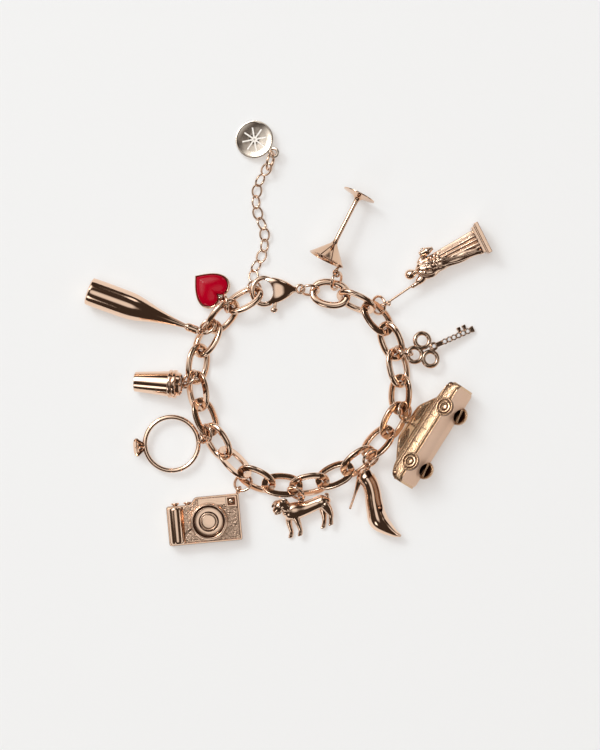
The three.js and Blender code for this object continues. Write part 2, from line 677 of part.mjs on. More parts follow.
// A standing short-haired dog, its head turned to look out.
function dog() {
  const unit = dogLength / 100;
  const deep = dogDepth / 2 / unit;
  const trunk = loft([
    [-40, 8, deep, 9, 9], [-34, 6, deep, 15, 12], [-22, 5, deep, 16.5, 13.5], [-4, 5, deep, 13, 11.5],
    [16, 8, deep, 12, 11], [28, 9, deep, 12, 11], [37, 8, deep, 7, 7],
  ], 10, unit);
  const head = loft([
    [-36, 16, deep + 3, 9, 9], [-45, 22, deep + 4, 12, 11], [-52, 19, deep + 6, 9, 9],
    [-57, 15, deep + 7, 6, 6],
  ], 10, unit);
  const near = deep + 5;
  const far = deep - 5;
  const legs = [
    [[-26, -2, near, 7, 6], [-23, -20, near, 4, 4], [-22, -33, near, 3, 3.2], [-25, -38, near, 3, 4]],
    [[-36, -2, far, 6, 6], [-39, -20, far, 4, 4], [-39, -34, far, 3, 3.2], [-42, -39, far, 3, 4]],
    [[30, 4, near, 9, 7], [34, -14, near, 5, 4], [35, -26, near, 3, 3], [32, -33, near, 3, 4]],
    [[27, 2, far, 9, 7], [23, -16, far, 5, 4], [22, -30, far, 3, 3], [18, -37, far, 3, 4]],
  ].map((rows) => loft(rows, 6, unit));
  const ears = [
    [[-46, 27, deep + 2, 4, 3], [-56, 27, deep + 2, 3, 2], [-61, 23, deep + 2, 1.5, 1.5]],
    [[-40, 27, deep + 9, 4, 3], [-37, 33, deep + 10, 3, 2], [-33, 32, deep + 10, 1.5, 1.5]],
  ].map((rows) => loft(rows, 5, unit));
  const tail = loft([
    [33, 12, deep, 4, 4], [39, 17, deep + 2, 2.6, 2.6], [34, 21, deep + 3, 1.6, 1.6],
  ], 6, unit);
  const body = joined(...[trunk, head, tail, ...legs, ...ears].map((part) => solid(part)));
  const floor = body.boundingBox().min[2];
  const ear = [-8 * unit, 24 * unit, dogDepth / 2 - floor];
  return charm(body.translate([0, 0, -floor]), ear, [0, -1, 0]);
}

// A compact camera lying on its flat back.
function camera() {
  const low = cameraHeight * 0.85;
  const slope = cameraLength * 0.4;
  const front = new THREE.Shape();
  front.moveTo(0, 0);
  front.lineTo(cameraLength, 0);
  front.lineTo(cameraLength, cameraHeight);
  front.lineTo(slope, cameraHeight);
  front.lineTo(slope - 1.6, low);
  front.lineTo(0, low);
  front.closePath();
  const body = solid(plate(front, cameraDepth, { round: 0.25, curveSegments: 3 }));
  const gripTurn = new THREE.CylinderGeometry(cameraGrip / 2, cameraGrip / 2, low - 0.5, 12);
  const grip = solid(gripTurn, place(cameraGrip / 2 + 0.25, low / 2, cameraDepth - 0.7));
  const lensX = cameraLength * 0.567;
  const lensY = cameraHeight * 0.46;
  const barrel = new THREE.CylinderGeometry(cameraLens / 2, cameraLens / 2, cameraBarrel + 1, 16);
  const lens = solid(barrel, place(lensX, lensY, cameraDepth + cameraBarrel / 2 - 0.5, 90));
  const bowl = turned([[0, -1.6], [cameraLens * 0.43, -1.6], [cameraLens * 0.43, 1], [0, 1]], 16);
  const hollow = solid(bowl, place(lensX, lensY, cameraDepth + cameraBarrel, 90));
  const glass = new THREE.CylinderGeometry(cameraLens * 0.25, cameraLens * 0.25, 2, 14);
  const inner = solid(glass, place(lensX, lensY, cameraDepth + cameraBarrel - 1.4, 90));
  const finder = solid(box(3.2, 3.2, 1.6), place(cameraLength - 2.3, cameraHeight - 2.1, cameraDepth + 0.3));
  const knob = new THREE.CylinderGeometry(1.2, 1.2, 1.1, 10);
  const knobs = [2.7, 6.4].map((x) => solid(knob, place(x, low + 0.4, cameraDepth / 2 + 0.6)));
  const pane = solid(box(2.2, 2.2, 1), place(cameraLength - 2.3, cameraHeight - 2.1, cameraDepth + 1.2));
  const cast = joined(body, grip, lens, finder, ...knobs).subtract(hollow).add(inner).subtract(pane);
  const ear = [cameraLength + 0.2, cameraHeight + 0.9, cameraDepth / 2];
  return charm(cast, ear, [-0.6, -0.8, 0], 1.2);
}

// A solitaire ring lying flat, its brilliant cast in one with the band.
function fingerRingCharm() {
  const band = roundRing(fingerRing, fingerRingWire, 20, 6);
  const outer = fingerRing / 2;
  const width = brilliantWidth / 2;
  const rows = [
    [0, 0], [0.9, 0], [1, 0.7], [width, brilliantDepth - 0.9], [width * 0.62, brilliantDepth],
    [0, brilliantDepth],
  ];
  const stone = solid(turned(rows, 8), place(-outer + 0.5, 0, 0, 0, 0, 90));
  const tilt = place(0, 0, 0, 0, fingerRingTilt, 0);
  const body = joined(solid(ringGeometry(band)), stone).transform(tilt.elements);
  const floor = body.boundingBox().min[2];
  const ear = new THREE.Vector3(outer + earDiameter / 2 - 0.3, 0, 0).applyMatrix4(tilt);
  const earHeight = Math.max(ear.z - floor, earDiameter / 2);
  return charm(body.translate([0, 0, -floor]), [ear.x, 0, earHeight], [-1, 0, 0]);
}

// A take-away cup with its lid.
function cup() {
  const lid = cupLid / 2;
  const wall = [[0, 0], [cupBase / 2 - 0.3, 0], [cupBase / 2, 0.3], [lid * 0.9, cupLength * 0.75]];
  const cover = [
    [0.98, 0.75], [0.98, 0.8], [0.92, 0.82], [1, 0.84], [1, 0.9], [0.86, 0.92], [0.8, 1], [0, 1],
  ].map(([radius, height]) => [radius * lid, height * cupLength]);
  const profile = [...wall, ...cover];
  const body = solid(turned(profile, 14), place(0, 0, lid));
  return charm(body, [0, cupLength + earDiameter / 2 - 0.2, lid], [0, -1, 0]);
}

// A bottle with a long neck and its cork.
function bottle() {
  const radius = bottleDiameter / 2;
  const neck = bottleNeck / 2;
  const cork = corkDiameter / 2;
  const top = bottleLength + corkLength;
  const share = (rows) => rows.map(([r, y]) => [neck + r * (radius - neck), y * bottleLength]);
  const glass = share([[0.85, 0], [1, 0.02], [1, 0.25], [0.97, 0.42], [0.82, 0.53], [0.5, 0.67], [0.25, 0.8],
    [0.08, 0.91], [0, 0.975]]);
  const profile = [
    [0, 0.8], [radius * 0.5, 0.3], ...glass, [neck, bottleLength], [cork, bottleLength + 0.1],
    [cork, top - 0.2], [cork * 0.8, top], [0, top],
  ];
  const body = solid(turned(profile, 14), place(0, 0, radius));
  return charm(body, [0, top + earDiameter / 2 - 0.2, radius], [0, -1, 0]);
}

function heartShape(size) {
  const half = size / 2;
  const shape = new THREE.Shape();
  shape.moveTo(0, -half);
  shape.bezierCurveTo(half * 0.3, -half * 0.75, half, -half * 0.25, half, half * 0.3);
  shape.bezierCurveTo(half, half * 0.85, half * 0.25, half * 1.15, 0, half * 0.6);
  shape.bezierCurveTo(-half * 0.25, half * 1.15, -half, half * 0.85, -half, half * 0.3);
  shape.bezierCurveTo(-half, -half * 0.25, -half * 0.3, -half * 0.75, 0, -half);
  return shape;
}

// A heart-shaped metal tray that holds the enamel.
function heart() {
  const tray = solid(plate(heartShape(heartSize), heartDepth, { round: 0.2, curveSegments: 5 }));
  const pocket = plate(heartShape(heartSize - 2 * heartWall), heartDepth, { curveSegments: 5 });
  const body = tray.subtract(solid(pocket, place(0, 0, heartWall)));
  return charm(body, [0, heartSize * 0.3 + 2.2, heartDepth * 0.75], [0, -1, -0.1], 0.7);
}

// The enamel: fills the tray and stands above it in a dome, as outlines that shrink towards its top.
function enamelGeometry() {
  const outline = heartShape(heartSize - 2 * heartWall - 2 * seatGap).getPoints(5).slice(1);
  const level = heartDepth - heartWall - seatGap;
  const rows = [
    { size: 1, z: 0 }, { size: 1, z: level }, { size: 0.9, z: level + enamelDome * 0.5 },
    { size: 0.66, z: level + enamelDome * 0.85 }, { size: 0.3, z: level + enamelDome },
  ];
  const positions = rows.flatMap(({ size, z }) => outline.flatMap(({ x, y }) => [x * size, y * size, z]));
  return flipped(strips(positions, rows.length, outline.length, false));
}

const charmMakers = {
  martini_glass: martiniGlass,
  statue_figure: statueFigure,
  key,
  car,
  shoe,
  dog,
  camera,
  finger_ring: fingerRingCharm,
  cup,
  bottle,
  heart,
};

// The bracelet

const group = new THREE.Group();
const looks = {
  rose_gold: new THREE.MeshStandardMaterial({ color: 0xd9a988, metalness: 1, roughness: 0.18 }),
  champagne: new THREE.MeshStandardMaterial({ color: 0xcdbfae, metalness: 1, roughness: 0.25 }),
  red_enamel: new THREE.MeshStandardMaterial({ color: 0xb80023, metalness: 0, roughness: 0.12 }),
  crystal: new THREE.MeshStandardMaterial({ color: 0xf3f1ee, metalness: 0, roughness: 0.05 }),
};

function addPiece(name, geometry, look, at) {
  const mesh = new THREE.Mesh(geometry, looks[look]);
  mesh.name = name;
  mesh.applyMatrix4(at);
  group.add(mesh);
}

function addChain() {
  const geometry = ringGeometry(linkRing);
  links.forEach(({ at }, i) => addPiece(`link_${String(i + 1).padStart(2, '0')}`, geometry, 'rose_gold', at));
}

// The clasp's frame: origin at the hook's inner face, X towards the eyelet.
function claspPlace() {
  const along = eyelet.clone().sub(end).normalize();
  const across = up.clone().cross(along).normalize();
  const frame = new THREE.Matrix4().makeBasis(along, across, along.clone().cross(across));
  return frame.setPosition(end.clone().addScaledVector(along, -hookSeat));
}

// The lever's outline in the clasp's plane: a gate that closes the hook, a hub and a thumb tab.
function leverOutline(grow) {
  const half = leverArm / 2 + grow;
  const gateEnd = ovalPoint(hookOval, hookMouth).point.add(new THREE.Vector3(hookCentre, 0, 0));
  const tabEnd = new THREE.Vector2(pivotReach - tabReach * 0.24, -tabReach * 0.97);
  const bar = (x, y, width) => {
    const length = Math.hypot(x - pivotReach, y) + grow;
    const angle = THREE.MathUtils.radToDeg(Math.atan2(y, x - pivotReach));
    return { length, angle, width };
  };
  return [bar(gateEnd.x + leverGap, gateEnd.y - half * 0.1, half), bar(tabEnd.x, tabEnd.y, half)];
}

const hookOval = { halfLength: hookLength / 2, halfWidth: hookHeight / 2, squareness: 2 };
const hookCentre = (hookLength - hookWire) / 2;

// The lever's solid, or with room round it the slot that it moves in.
function leverSolid(grow, turn = 0) {
  const depth = leverDepth + 2 * grow;
  const bars = leverOutline(grow).map(({ length, angle, width }) => {
    const middle = place(0, 0, 0, 0, 0, angle).multiply(place(length / 2, 0, 0));
    return solid(box(length, 2 * width, depth), middle);
  });
  const hubRadius = leverHub / 2 + grow;
  const hub = solid(new THREE.CylinderGeometry(hubRadius, hubRadius, depth, 10), place(0, 0, 0, 90));
  return joined(hub, ...bars).transform(place(0, 0, 0, 0, 0, turn).elements);
}

function claspSolid() {
  const hookRing = { ...hookOval, section: roundSection(hookWire, 6), steps: 16 };
  const hook = solid(ringGeometry(hookRing), place(hookCentre, 0, 0));
  const bodyStart = hookLength - hookWire;
  const body = solid(loft([
    { along: -0.44, half: 0.6, high: 0.22 }, { along: -0.2, half: 0.58, high: 0.36 },
    { along: 0.08, half: 0.53, high: 0.48 }, { along: 0.38, half: 0.43, high: 0.5 },
    { along: 0.68, half: 0.27, high: 0.42 }, { along: 1, half: 0.1, high: 0.26 },
  ].map(({ along, half, high }) => {
    return [bodyStart + along * (claspNeck - bodyStart), 0, 0, half * bodyWidth, high * bodyDepth];
  }), 12));
  const opening = new THREE.CylinderGeometry(1, 1, 2 * bodyDepth, 20);
  opening.scale((hookLength - hookWire) / 2, 1, (hookHeight - hookWire) / 2);
  const front = body.subtract(solid(opening, place(hookCentre, 0, 0, 90)));
  const loop = solid(ringGeometry(eyeletRing), place(eyeletReach, 0, 0));
  const mouthWidth = hookLength - hookCentre;
  const gateEnd = ovalPoint(hookOval, hookMouth).point.x + hookCentre;
  const mouth = solid(box(mouthWidth, hookHeight, bodyDepth), place(gateEnd + mouthWidth / 2, hookHeight, 0));
  const turns = [0, 0.5, 1].map((share) => leverSolid(leverGap, share * leverTravel));
  const slot = joined(...turns).transform(place(pivotReach, 0, 0).elements);
  return joined(hook.subtract(mouth), front, loop).subtract(slot);
}

function addClasp() {
  const at = claspPlace();
  addPiece('lobster_clasp', geometryOf(claspSolid()), 'rose_gold', at);
  const pivot = at.clone().multiply(place(pivotReach, 0, 0));
  addPiece('clasp_lever', geometryOf(leverSolid(0)), 'rose_gold', pivot);
  const way = start.clone().sub(eyelet).normalize();
  const centre = eyelet.clone().addScaledVector(way, ringSeat + jumpRing.halfWidth);
  const lean = Math.asin(Math.min(centre.z / (jumpDiameter / 2), 1));
  const normal = up.clone().cross(way).normalize().applyAxisAngle(way, lean - Math.PI / 2);
  const frame = new THREE.Matrix4().makeBasis(way, normal.clone().cross(way), normal).setPosition(centre);
  addPiece('clasp_jump_ring', ringGeometry(jumpRing), 'rose_gold', frame);
}

// The extender: its first ring round the last link, then small links fused along the route.
function addExtender() {
  const first = hang(links[linkCount - 1], extenderHanging, firstLink, smallLink);
  const centre = new THREE.Vector3().setFromMatrixPosition(first.ringPlace);
  const pitch = extenderLength - 2 * extenderWire + extenderBite;
  const runLength = extenderLinks * pitch;
  const [outX, outY] = extenderRoute[1];
  const outOfRing = new THREE.Vector3(outX, outY, 0).setLength(innerRadius(firstLink) + extenderBite / 2);
  const points = extenderRoute.map(([x, y]) => {
    return new THREE.Vector3(x * runLength, y * runLength, 0).add(centre).add(outOfRing);
  });
  const curve = new THREE.CatmullRomCurve3(points, false, 'centripetal');
  const lowest = Math.max(...extenderLeans.map((lean) => restHeight(smallLink, lean)));
  const heights = Array.from({ length: extenderLinks }, (_, i) => {
    const fromEnd = extenderLinks - 1 - i;
    return Math.max(lowest, centre.z - i * extenderFall, extenderLift - fromEnd * extenderFall);
  });
  const run = walk(curve, extenderLinks - 1, pitch, heights);
  const smallLinks = run.slice(1).map((joint, i) => {
    return { ring: smallLink, at: linkPlace(run[i], joint, extenderLeans[i % 2]) };
  });
  const parts = smallLinks.map(({ at }) => solid(ringGeometry(smallLink), at));
  const chain = joined(solid(ringGeometry(firstLink), first.ringPlace), ...parts);
  addPiece('extender_chain', geometryOf(chain), 'rose_gold', new THREE.Matrix4());
  return smallLinks.at(-1);
}

function tagCharm() {
  const disc = new THREE.CylinderGeometry(tagDiameter / 2, tagDiameter / 2, tagThickness, 28);
  const body = solid(disc, place(0, 0, tagThickness / 2, 90));
  return charm(body, [0, tagDiameter / 2 + lugDiameter / 2 - 0.3, tagThickness / 2], [0, -1, 0]);
}

function addHanging(name, carrier, spec, piece, ear, look) {
  const hung = hang(carrier, spec, jumpRing, ear);
  const at = lying(piece, hung.ear, spec.lies);
  const axis = hung.earAxis.clone().transformDirection(at.clone().invert());
  const body = piece.earBuiltIn ? piece.body : piece.body.add(earSolid(piece, ear, axis));
  addPiece(name, geometryOf(body), look, at);
  addPiece(`${name}_jump_ring`, ringGeometry(jumpRing), 'rose_gold', hung.ringPlace);
  return at;
}

function addCharms() {
  for (const spec of hangings) {
    const ear = spec.name === 'key' ? keyEar : charmEar;
    const at = addHanging(spec.name, links[spec.link - 1], spec, charmMakers[spec.name](), ear, 'rose_gold');
    if (spec.name === 'heart') {
      const floor = at.clone().multiply(place(0, 0, heartWall + seatGap));
      addPiece('heart_enamel', enamelGeometry(), 'red_enamel', floor);
    }
    if (spec.name === 'key') {
      const height = keyThickness + 0.2 - keyStone * 0.55 + seatGap;
      keyStoneSeats.forEach((y, i) => {
        addPiece(`key_stone_${i + 1}`, stoneGeometry(), 'crystal', at.clone().multiply(place(0, y, height)));
      });
    }
  }
}

addChain();
addClasp();
const extenderEnd = addExtender();
addHanging('tag', extenderEnd, tagHanging, tagCharm(), tagLug, 'champagne');
addCharms();

// The origin: middle of the whole bracelet's outline, on the surface that it lies on.
const bounds = new THREE.Box3().setFromObject(group, true);
const middle = bounds.getCenter(new THREE.Vector3());
for (const mesh of group.children) mesh.position.sub(new THREE.Vector3(middle.x, middle.y, bounds.min.z));

export default group;
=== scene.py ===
"""Charm bracelet: the looks of its chain, clasp, extender, tag and eleven charms.

Forms are made in millimetres, each in its own frame, and are then laid on the solids of the frame.
"""

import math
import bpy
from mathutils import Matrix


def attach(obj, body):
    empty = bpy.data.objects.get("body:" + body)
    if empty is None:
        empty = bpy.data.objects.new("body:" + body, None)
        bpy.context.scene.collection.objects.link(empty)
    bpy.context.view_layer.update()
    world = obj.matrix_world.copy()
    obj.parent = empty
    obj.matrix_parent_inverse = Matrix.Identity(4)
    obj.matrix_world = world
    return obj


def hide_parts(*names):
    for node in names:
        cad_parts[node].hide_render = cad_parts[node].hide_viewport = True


bl_info = {
    "name": "Charm Bracelet",
    "version": (1, 0, 0),
    "blender": (4, 5, 0),
    "location": "3D View > Sidebar > Bracelet",
    "description": "Dresses the frame of a charm bracelet in rose gold, enamel and stones",
    "category": "Object",
}

import bpy
import numpy as np
from bpy.props import FloatProperty, FloatVectorProperty, IntProperty, PointerProperty
from mathutils import Matrix, Vector
from mathutils.bvhtree import BVHTree

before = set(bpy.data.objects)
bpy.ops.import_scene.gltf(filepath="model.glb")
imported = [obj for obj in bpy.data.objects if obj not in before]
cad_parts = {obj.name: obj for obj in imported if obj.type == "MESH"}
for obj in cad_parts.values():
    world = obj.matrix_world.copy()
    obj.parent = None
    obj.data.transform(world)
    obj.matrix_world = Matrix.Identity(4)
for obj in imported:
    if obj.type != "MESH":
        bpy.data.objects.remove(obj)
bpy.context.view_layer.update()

MM = 0.001
LINKS = [f"link_{i:02d}" for i in range(1, 22)]
CHARMS = (
    "martini_glass", "statue_figure", "key", "car", "shoe", "dog", "camera",
    "finger_ring", "cup", "bottle", "heart",
)
JUMP_RINGS = ["clasp_jump_ring", "tag_jump_ring", *(f"{name}_jump_ring" for name in CHARMS)]


def millimetres(name, default, description):
    """A length that a user can change, kept in millimetres."""
    return FloatProperty(name=name, default=default, min=0.01, description=description)


class ChainSizes(bpy.types.PropertyGroup):
    """Sizes of the rings that make the chain, in millimetres."""

    link_length: millimetres("Link Length", 11.7, "Outer length of a main link")
    link_width: millimetres("Link Width", 8.3, "Outer width of a main link")
    link_wall: millimetres("Link Wall", 1.25, "Thickness of a main link's band")
    link_band: millimetres("Link Band", 2.2, "Width of a main link's band")
    jump_diameter: millimetres("Jump Ring", 6.15, "Outer diameter of a jump ring")
    jump_wire: millimetres("Jump Ring Wire", 0.85, "Wire of a jump ring")
    jump_cut: FloatProperty(
        name="Jump Ring Cut", default=math.radians(1.6), subtype="ANGLE", unit="ROTATION",
        description="Fine gap where a jump ring was closed",
    )
    small_length: millimetres("Extender Link Length", 4.4, "Outer length of an extender link")
    small_width: millimetres("Extender Link Width", 3.4, "Outer width of an extender link")
    small_wire: millimetres("Extender Wire", 0.62, "Wire of an extender link")
    first_diameter: millimetres("First Ring", 4.8, "Outer diameter of the extender's first ring")
    round_steps: IntProperty(name="Steps", default=64, min=12, description="Rows round a main link")


class Finishes(bpy.types.PropertyGroup):
    """Colours and polish of the bracelet's metals, enamel and stones."""

    rose_gold: FloatVectorProperty(
        name="Rose Gold", subtype="COLOR", size=3, min=0, max=1, default=(0.93, 0.68, 0.52),
        description="Polished rose gold of the chain and the charms",
    )
    old_gold: FloatVectorProperty(
        name="Aged Rose Gold", subtype="COLOR", size=3, min=0, max=1, default=(0.74, 0.55, 0.42),
        description="Duller metal of the key",
    )
    champagne: FloatVectorProperty(
        name="Champagne", subtype="COLOR", size=3, min=0, max=1, default=(0.74, 0.67, 0.59),
        description="Pale metal of the tag",
    )
    enamel: FloatVectorProperty(
        name="Enamel", subtype="COLOR", size=3, min=0, max=1, default=(0.46, 0.0, 0.016),
        description="Red enamel of the heart",
    )
    # Colour of the dark patina and painted shade in recesses and close to the floor; the painted-shade metal
    # has this colour too.
    patina_and_shade: FloatVectorProperty(
        name="Recess", subtype="COLOR", size=3, min=0, max=1, default=(0.15, 0.07, 0.042),
        description="Darkened metal in the deep places",
    )
    polish: FloatProperty(
        name="Polish", default=0.07, min=0.02, max=1,
        description="Roughness of the polished metal",
    )


class StageSettings(bpy.types.PropertyGroup):
    """Floor, light and camera."""

    floor: FloatVectorProperty(
        name="Floor", subtype="COLOR", size=3, min=0, max=1, default=(0.47, 0.53, 0.565),
        description="Colour of the pale board",
    )
    board_glow: FloatVectorProperty(
        name="Board Glow", subtype="COLOR", size=3, min=0, max=1, default=(0.415, 0.36, 0.325),
        description="Light that comes up through the board",
    )
    height: FloatProperty(
        name="Camera Height", default=1.0, min=0.3, unit="LENGTH",
        description="Height of the camera above the floor",
    )
    view_height: FloatProperty(
        name="View Height", default=0.225, unit="LENGTH",
        description="Length of floor that the picture shows from top to bottom",
    )
    view_x: FloatProperty(name="View X", default=0.00353, unit="LENGTH", description="Centre of the view")
    view_y: FloatProperty(name="View Y", default=-0.0126, unit="LENGTH", description="Centre of the view")
    key_power: FloatProperty(
        name="Key Light", default=32.0, min=0, unit="POWER", description="Power of the key light"
    )
    fill_power: FloatProperty(
        name="Fill Light", default=36.5, min=0, unit="POWER", description="Power of the wide light overhead"
    )


class BraceletSettings(bpy.types.PropertyGroup):
    """Everything that a user would change on the bracelet."""

    chain: PointerProperty(type=ChainSizes)
    finishes: PointerProperty(type=Finishes)
    stage: PointerProperty(type=StageSettings)


def settings():
    """The scene's bracelet settings."""
    return bpy.context.scene.charm_bracelet


# Shells: closed skins in millimetres, each with its points, its faces and a material slot.


class Shell:
    """A closed skin whose faces point outward."""

    def __init__(self, points, faces, slots=0):
        self.points = np.asarray(points, float)
        self.faces = [tuple(int(i) for i in face) for face in faces]
        self.slots = [slots] * len(self.faces) if isinstance(slots, int) else list(slots)

    def outward(self):
        """Turns the faces over where they enclose a negative volume."""
        volume = 0.0
        for face in self.faces:
            first = self.points[face[0]]
            for b, c in zip(face[1:], face[2:]):
                volume += float(np.dot(first, np.cross(self.points[b], self.points[c])))
        if volume < 0:
            self.faces = [face[::-1] for face in self.faces]
        return self

    def moved(self, place):
        """A copy moved by a matrix."""
        matrix = np.array(place)
        points = self.points @ matrix[:3, :3].T + matrix[:3, 3]
        return Shell(points, self.faces, self.slots)


def joined(shells):
    """All shells as one, without welding them."""
    points, faces, slots, start = [], [], [], 0
    for shell in shells:
        points.append(shell.points)
        faces += [tuple(i + start for i in face) for face in shell.faces]
        slots += shell.slots
        start += len(shell.points)
    return Shell(np.concatenate(points), faces, slots)


def skin(rows, closed=False, slot=0, cap_slot=None):
    """A shell through rows of points. A row whose points all meet becomes a pole."""
    points, starts = [], []
    for row in rows:
        row = np.asarray(row, float)
        pole = np.ptp(row, axis=0).max() < 1e-6
        starts.append((len(points), 1 if pole else len(row)))
        points.extend(row[:1] if pole else row)
    pairs = list(zip(starts, starts[1:]))
    if closed:
        pairs.append((starts[-1], starts[0]))
    faces = []
    for (a, a_count), (b, b_count) in pairs:
        sides = max(a_count, b_count)
        for s in range(sides):
            t = (s + 1) % sides
            corners = (a + s % a_count, a + t % a_count, b + t % b_count, b + s % b_count)
            face = tuple(dict.fromkeys(corners))
            if len(face) > 2:
                faces.append(face)
    slots = [slot] * len(faces)
    if not closed:
        (a, a_count), (b, b_count) = starts[0], starts[-1]
        caps = []
        if a_count > 2:
            caps.append(tuple(range(a + a_count - 1, a - 1, -1)))
        if b_count > 2:
            caps.append(tuple(range(b, b + b_count)))
        faces += caps
        slots += [slot if cap_slot is None else cap_slot] * len(caps)
    return Shell(points, faces, slots).outward()


def circle(sides):
    """Cosines and sines round a full turn."""
    angles = np.arange(sides) * 2 * np.pi / sides
    return np.cos(angles), np.sin(angles)


def fillet(profile, radius, steps=4):
    """An open outline with its corners rounded. A corner may carry its own radius as a third number."""
    corners = [np.array(row[:2], float) for row in profile]
    radii = [row[2] if len(row) > 2 else radius for row in profile]
    rounded = [corners[0]]
    for before, corner, after, size in zip(corners, corners[1:], corners[2:], radii[1:]):
        back, ahead = before - corner, after - corner
        back_length, ahead_length = np.linalg.norm(back), np.linalg.norm(ahead)
        reach = min(size, back_length * 0.45, ahead_length * 0.45)
        start, end = corner + back / back_length * reach, corner + ahead / ahead_length * reach
        for t in np.linspace(0, 1, steps):
            rounded.append((1 - t) ** 2 * start + 2 * t * (1 - t) * corner + t**2 * end)
    rounded.append(corners[-1])
    return rounded


def turned(profile, sides=48, radius=0.15, steps=4):
    """A profile of (radius, height) turned about +Y, its corners rounded."""
    c, s = circle(sides)
    rows = []
    for r, y in fillet(profile, radius, steps):
        rows.append(np.stack([r * c, np.full(sides, y), r * s], axis=1))
    return skin(rows)


def smooth(points, steps=6):
    """Points on a smooth curve through the given ones, of any number of columns."""
    knots = np.asarray(points, float)
    count = len(knots)
    result = []
    for i in range(count - 1):
        b, c = knots[i], knots[i + 1]
        a = knots[i - 1] if i > 0 else 2 * b - c
        d = knots[i + 2] if i + 2 < count else 2 * c - b
        for t in np.arange(steps) / steps:
            result.append(
                0.5 * (2 * b + (c - a) * t + (2 * a - 5 * b + 4 * c - d) * t**2
                       + (3 * b - a - 3 * c + d) * t**3)
            )
    result.append(knots[-1])
    return np.array(result)


def tube(path, radius, sides=12, closed=False, slot=0, rounded=True):
    """A round wire along a path. The radius may be one number or one for each point."""
    path = np.asarray(path, float)
    radii = np.broadcast_to(np.asarray(radius, float), (len(path),)).copy()
    if closed:
        ways = np.roll(path, -1, axis=0) - np.roll(path, 1, axis=0)
    else:
        ways = np.gradient(path, axis=0)
    ways /= np.linalg.norm(ways, axis=1)[:, None]
    side = np.cross(ways[0], [0, 0, 1.0])
    if np.linalg.norm(side) < 0.1:
        side = np.cross(ways[0], [0, 1.0, 0])
    c, s = circle(sides)
    rows = []
    for point, way, size in zip(path, ways, radii):
        side = side - way * np.dot(side, way)
        side /= np.linalg.norm(side)
        rise = np.cross(side, way)
        rows.append(point + size * (np.outer(c, side) + np.outer(s, rise)))
    if rounded and not closed:
        rows = domed(rows, path, ways, radii)
    return skin(rows, closed=closed, slot=slot)


def domed(rows, path, ways, radii):
    """The same rows with a round cap before the first and after the last."""
    def cap(row, centre, way, size):
        turns = np.radians([25, 50, 72, 90])
        return [centre + (row - centre) * math.cos(a) + way * size * math.sin(a) for a in turns]

    first = cap(rows[0], path[0], -ways[0], radii[0])[::-1]
    last = cap(rows[-1], path[-1], ways[-1], radii[-1])
    return [*first, *rows, *last]


def loft(rows, sides=28, unit=1.0, steps=5, shape=None, dome=0.5):
    """Ellipses on a smooth path. Rows are [x, y, z, half width beside the path, half height]."""
    fine = smooth(rows, steps) * unit
    ways = np.gradient(fine[:, :2], axis=0)
    ways /= np.linalg.norm(ways, axis=1)[:, None]
    c, s = circle(sides)
    sections = []
    for i, ((x, y, z, half, high), way) in enumerate(zip(fine, ways)):
        swell = 1.0 if shape is None else shape(i / (len(fine) - 1), np.arctan2(s, c))
        beside, rise = half * c * swell, high * s * swell
        row = np.stack([x + beside * way[1], y - beside * way[0], z + rise], axis=1)
        sections.append(row)
    centres = fine[:, :3]
    if dome:
        level = np.concatenate([ways, np.zeros((len(ways), 1))], axis=1)
        sections = domed(sections, centres, level, np.minimum(fine[:, 3], fine[:, 4]) * dome)
    return skin(sections)


def offset(outline, distance):
    """A closed flat outline moved inward."""
    ahead = np.roll(outline, -1, axis=0) - outline
    ahead /= np.linalg.norm(ahead, axis=1)[:, None]
    back = np.roll(ahead, 1, axis=0)
    middle = ahead + back
    normal = np.stack([-middle[:, 1], middle[:, 0]], axis=1)
    normal /= np.linalg.norm(normal, axis=1)[:, None]
    stretch = np.clip(np.sum(normal * np.stack([-ahead[:, 1], ahead[:, 0]], axis=1), axis=1), 0.4, 1)
    area = np.sum(outline[:, 0] * np.roll(outline[:, 1], -1) - outline[:, 1] * np.roll(outline[:, 0], -1))
    return outline + normal * (distance / stretch)[:, None] * np.sign(area)


def slab(outline, low, high, rounding=0.2, steps=4, slot=0):
    """A flat outline with thickness and rounded edges."""
    outline = np.asarray(outline, float)
    turns = np.linspace(0, math.pi / 2, steps)
    sides = [(rounding * (1 - math.sin(turn)), rounding * (1 - math.cos(turn))) for turn in turns]
    sides.insert(0, (rounding + 0.04, 0.0))  # keeps the flat faces flat where they meet the rounding
    rows = []
    for side, level in ((1, low), (-1, high)):
        for inset, rise in sides[::side]:
            flat = offset(outline, inset)
            rows.append(np.column_stack([flat, np.full(len(flat), level + side * rise)]))
    return skin(rows, slot=slot)


def rounded_rectangle(width, height, radius, steps=5):
    """The outline of a rectangle with round corners, about its centre."""
    points = []
    for turn, (sx, sy) in enumerate(((1, 1), (-1, 1), (-1, -1), (1, -1))):
        for t in np.linspace(0, math.pi / 2, steps):
            angle = turn * math.pi / 2 + t
            points.append((
                sx * (width / 2 - radius) + radius * math.cos(angle),
                sy * (height / 2 - radius) + radius * math.sin(angle),
            ))
    return np.array(points)


def polygon(corners, radius=0.3, steps=4):
    """A closed outline from its corners, each of them rounded."""
    corners = [*corners[-1:], *corners, corners[0]]
    return np.array(fillet(corners, radius, steps)[1:-1])


def block(width, height, depth, centre=(0, 0, 0), rounding=0.15, slot=0):
    """A box with rounded edges."""
    outline = rounded_rectangle(width, height, min(rounding, width * 0.45, height * 0.45))
    shell = slab(outline, -depth / 2, depth / 2, min(rounding, depth * 0.45), slot=slot)
    return shell.moved(Matrix.Translation(centre))


def ball(centre, radii, sides=24, rows=14, slot=0):
    """An ellipsoid."""
    c, s = circle(sides)
    turns = np.linspace(-math.pi / 2, math.pi / 2, rows)
    sections = [
        np.stack([
            centre[0] + radii[0] * math.cos(t) * c,
            centre[1] + radii[1] * math.cos(t) * s,
            np.full(sides, centre[2] + radii[2] * math.sin(t)),
        ], axis=1)
        for t in turns
    ]
    return skin(sections, slot=slot)


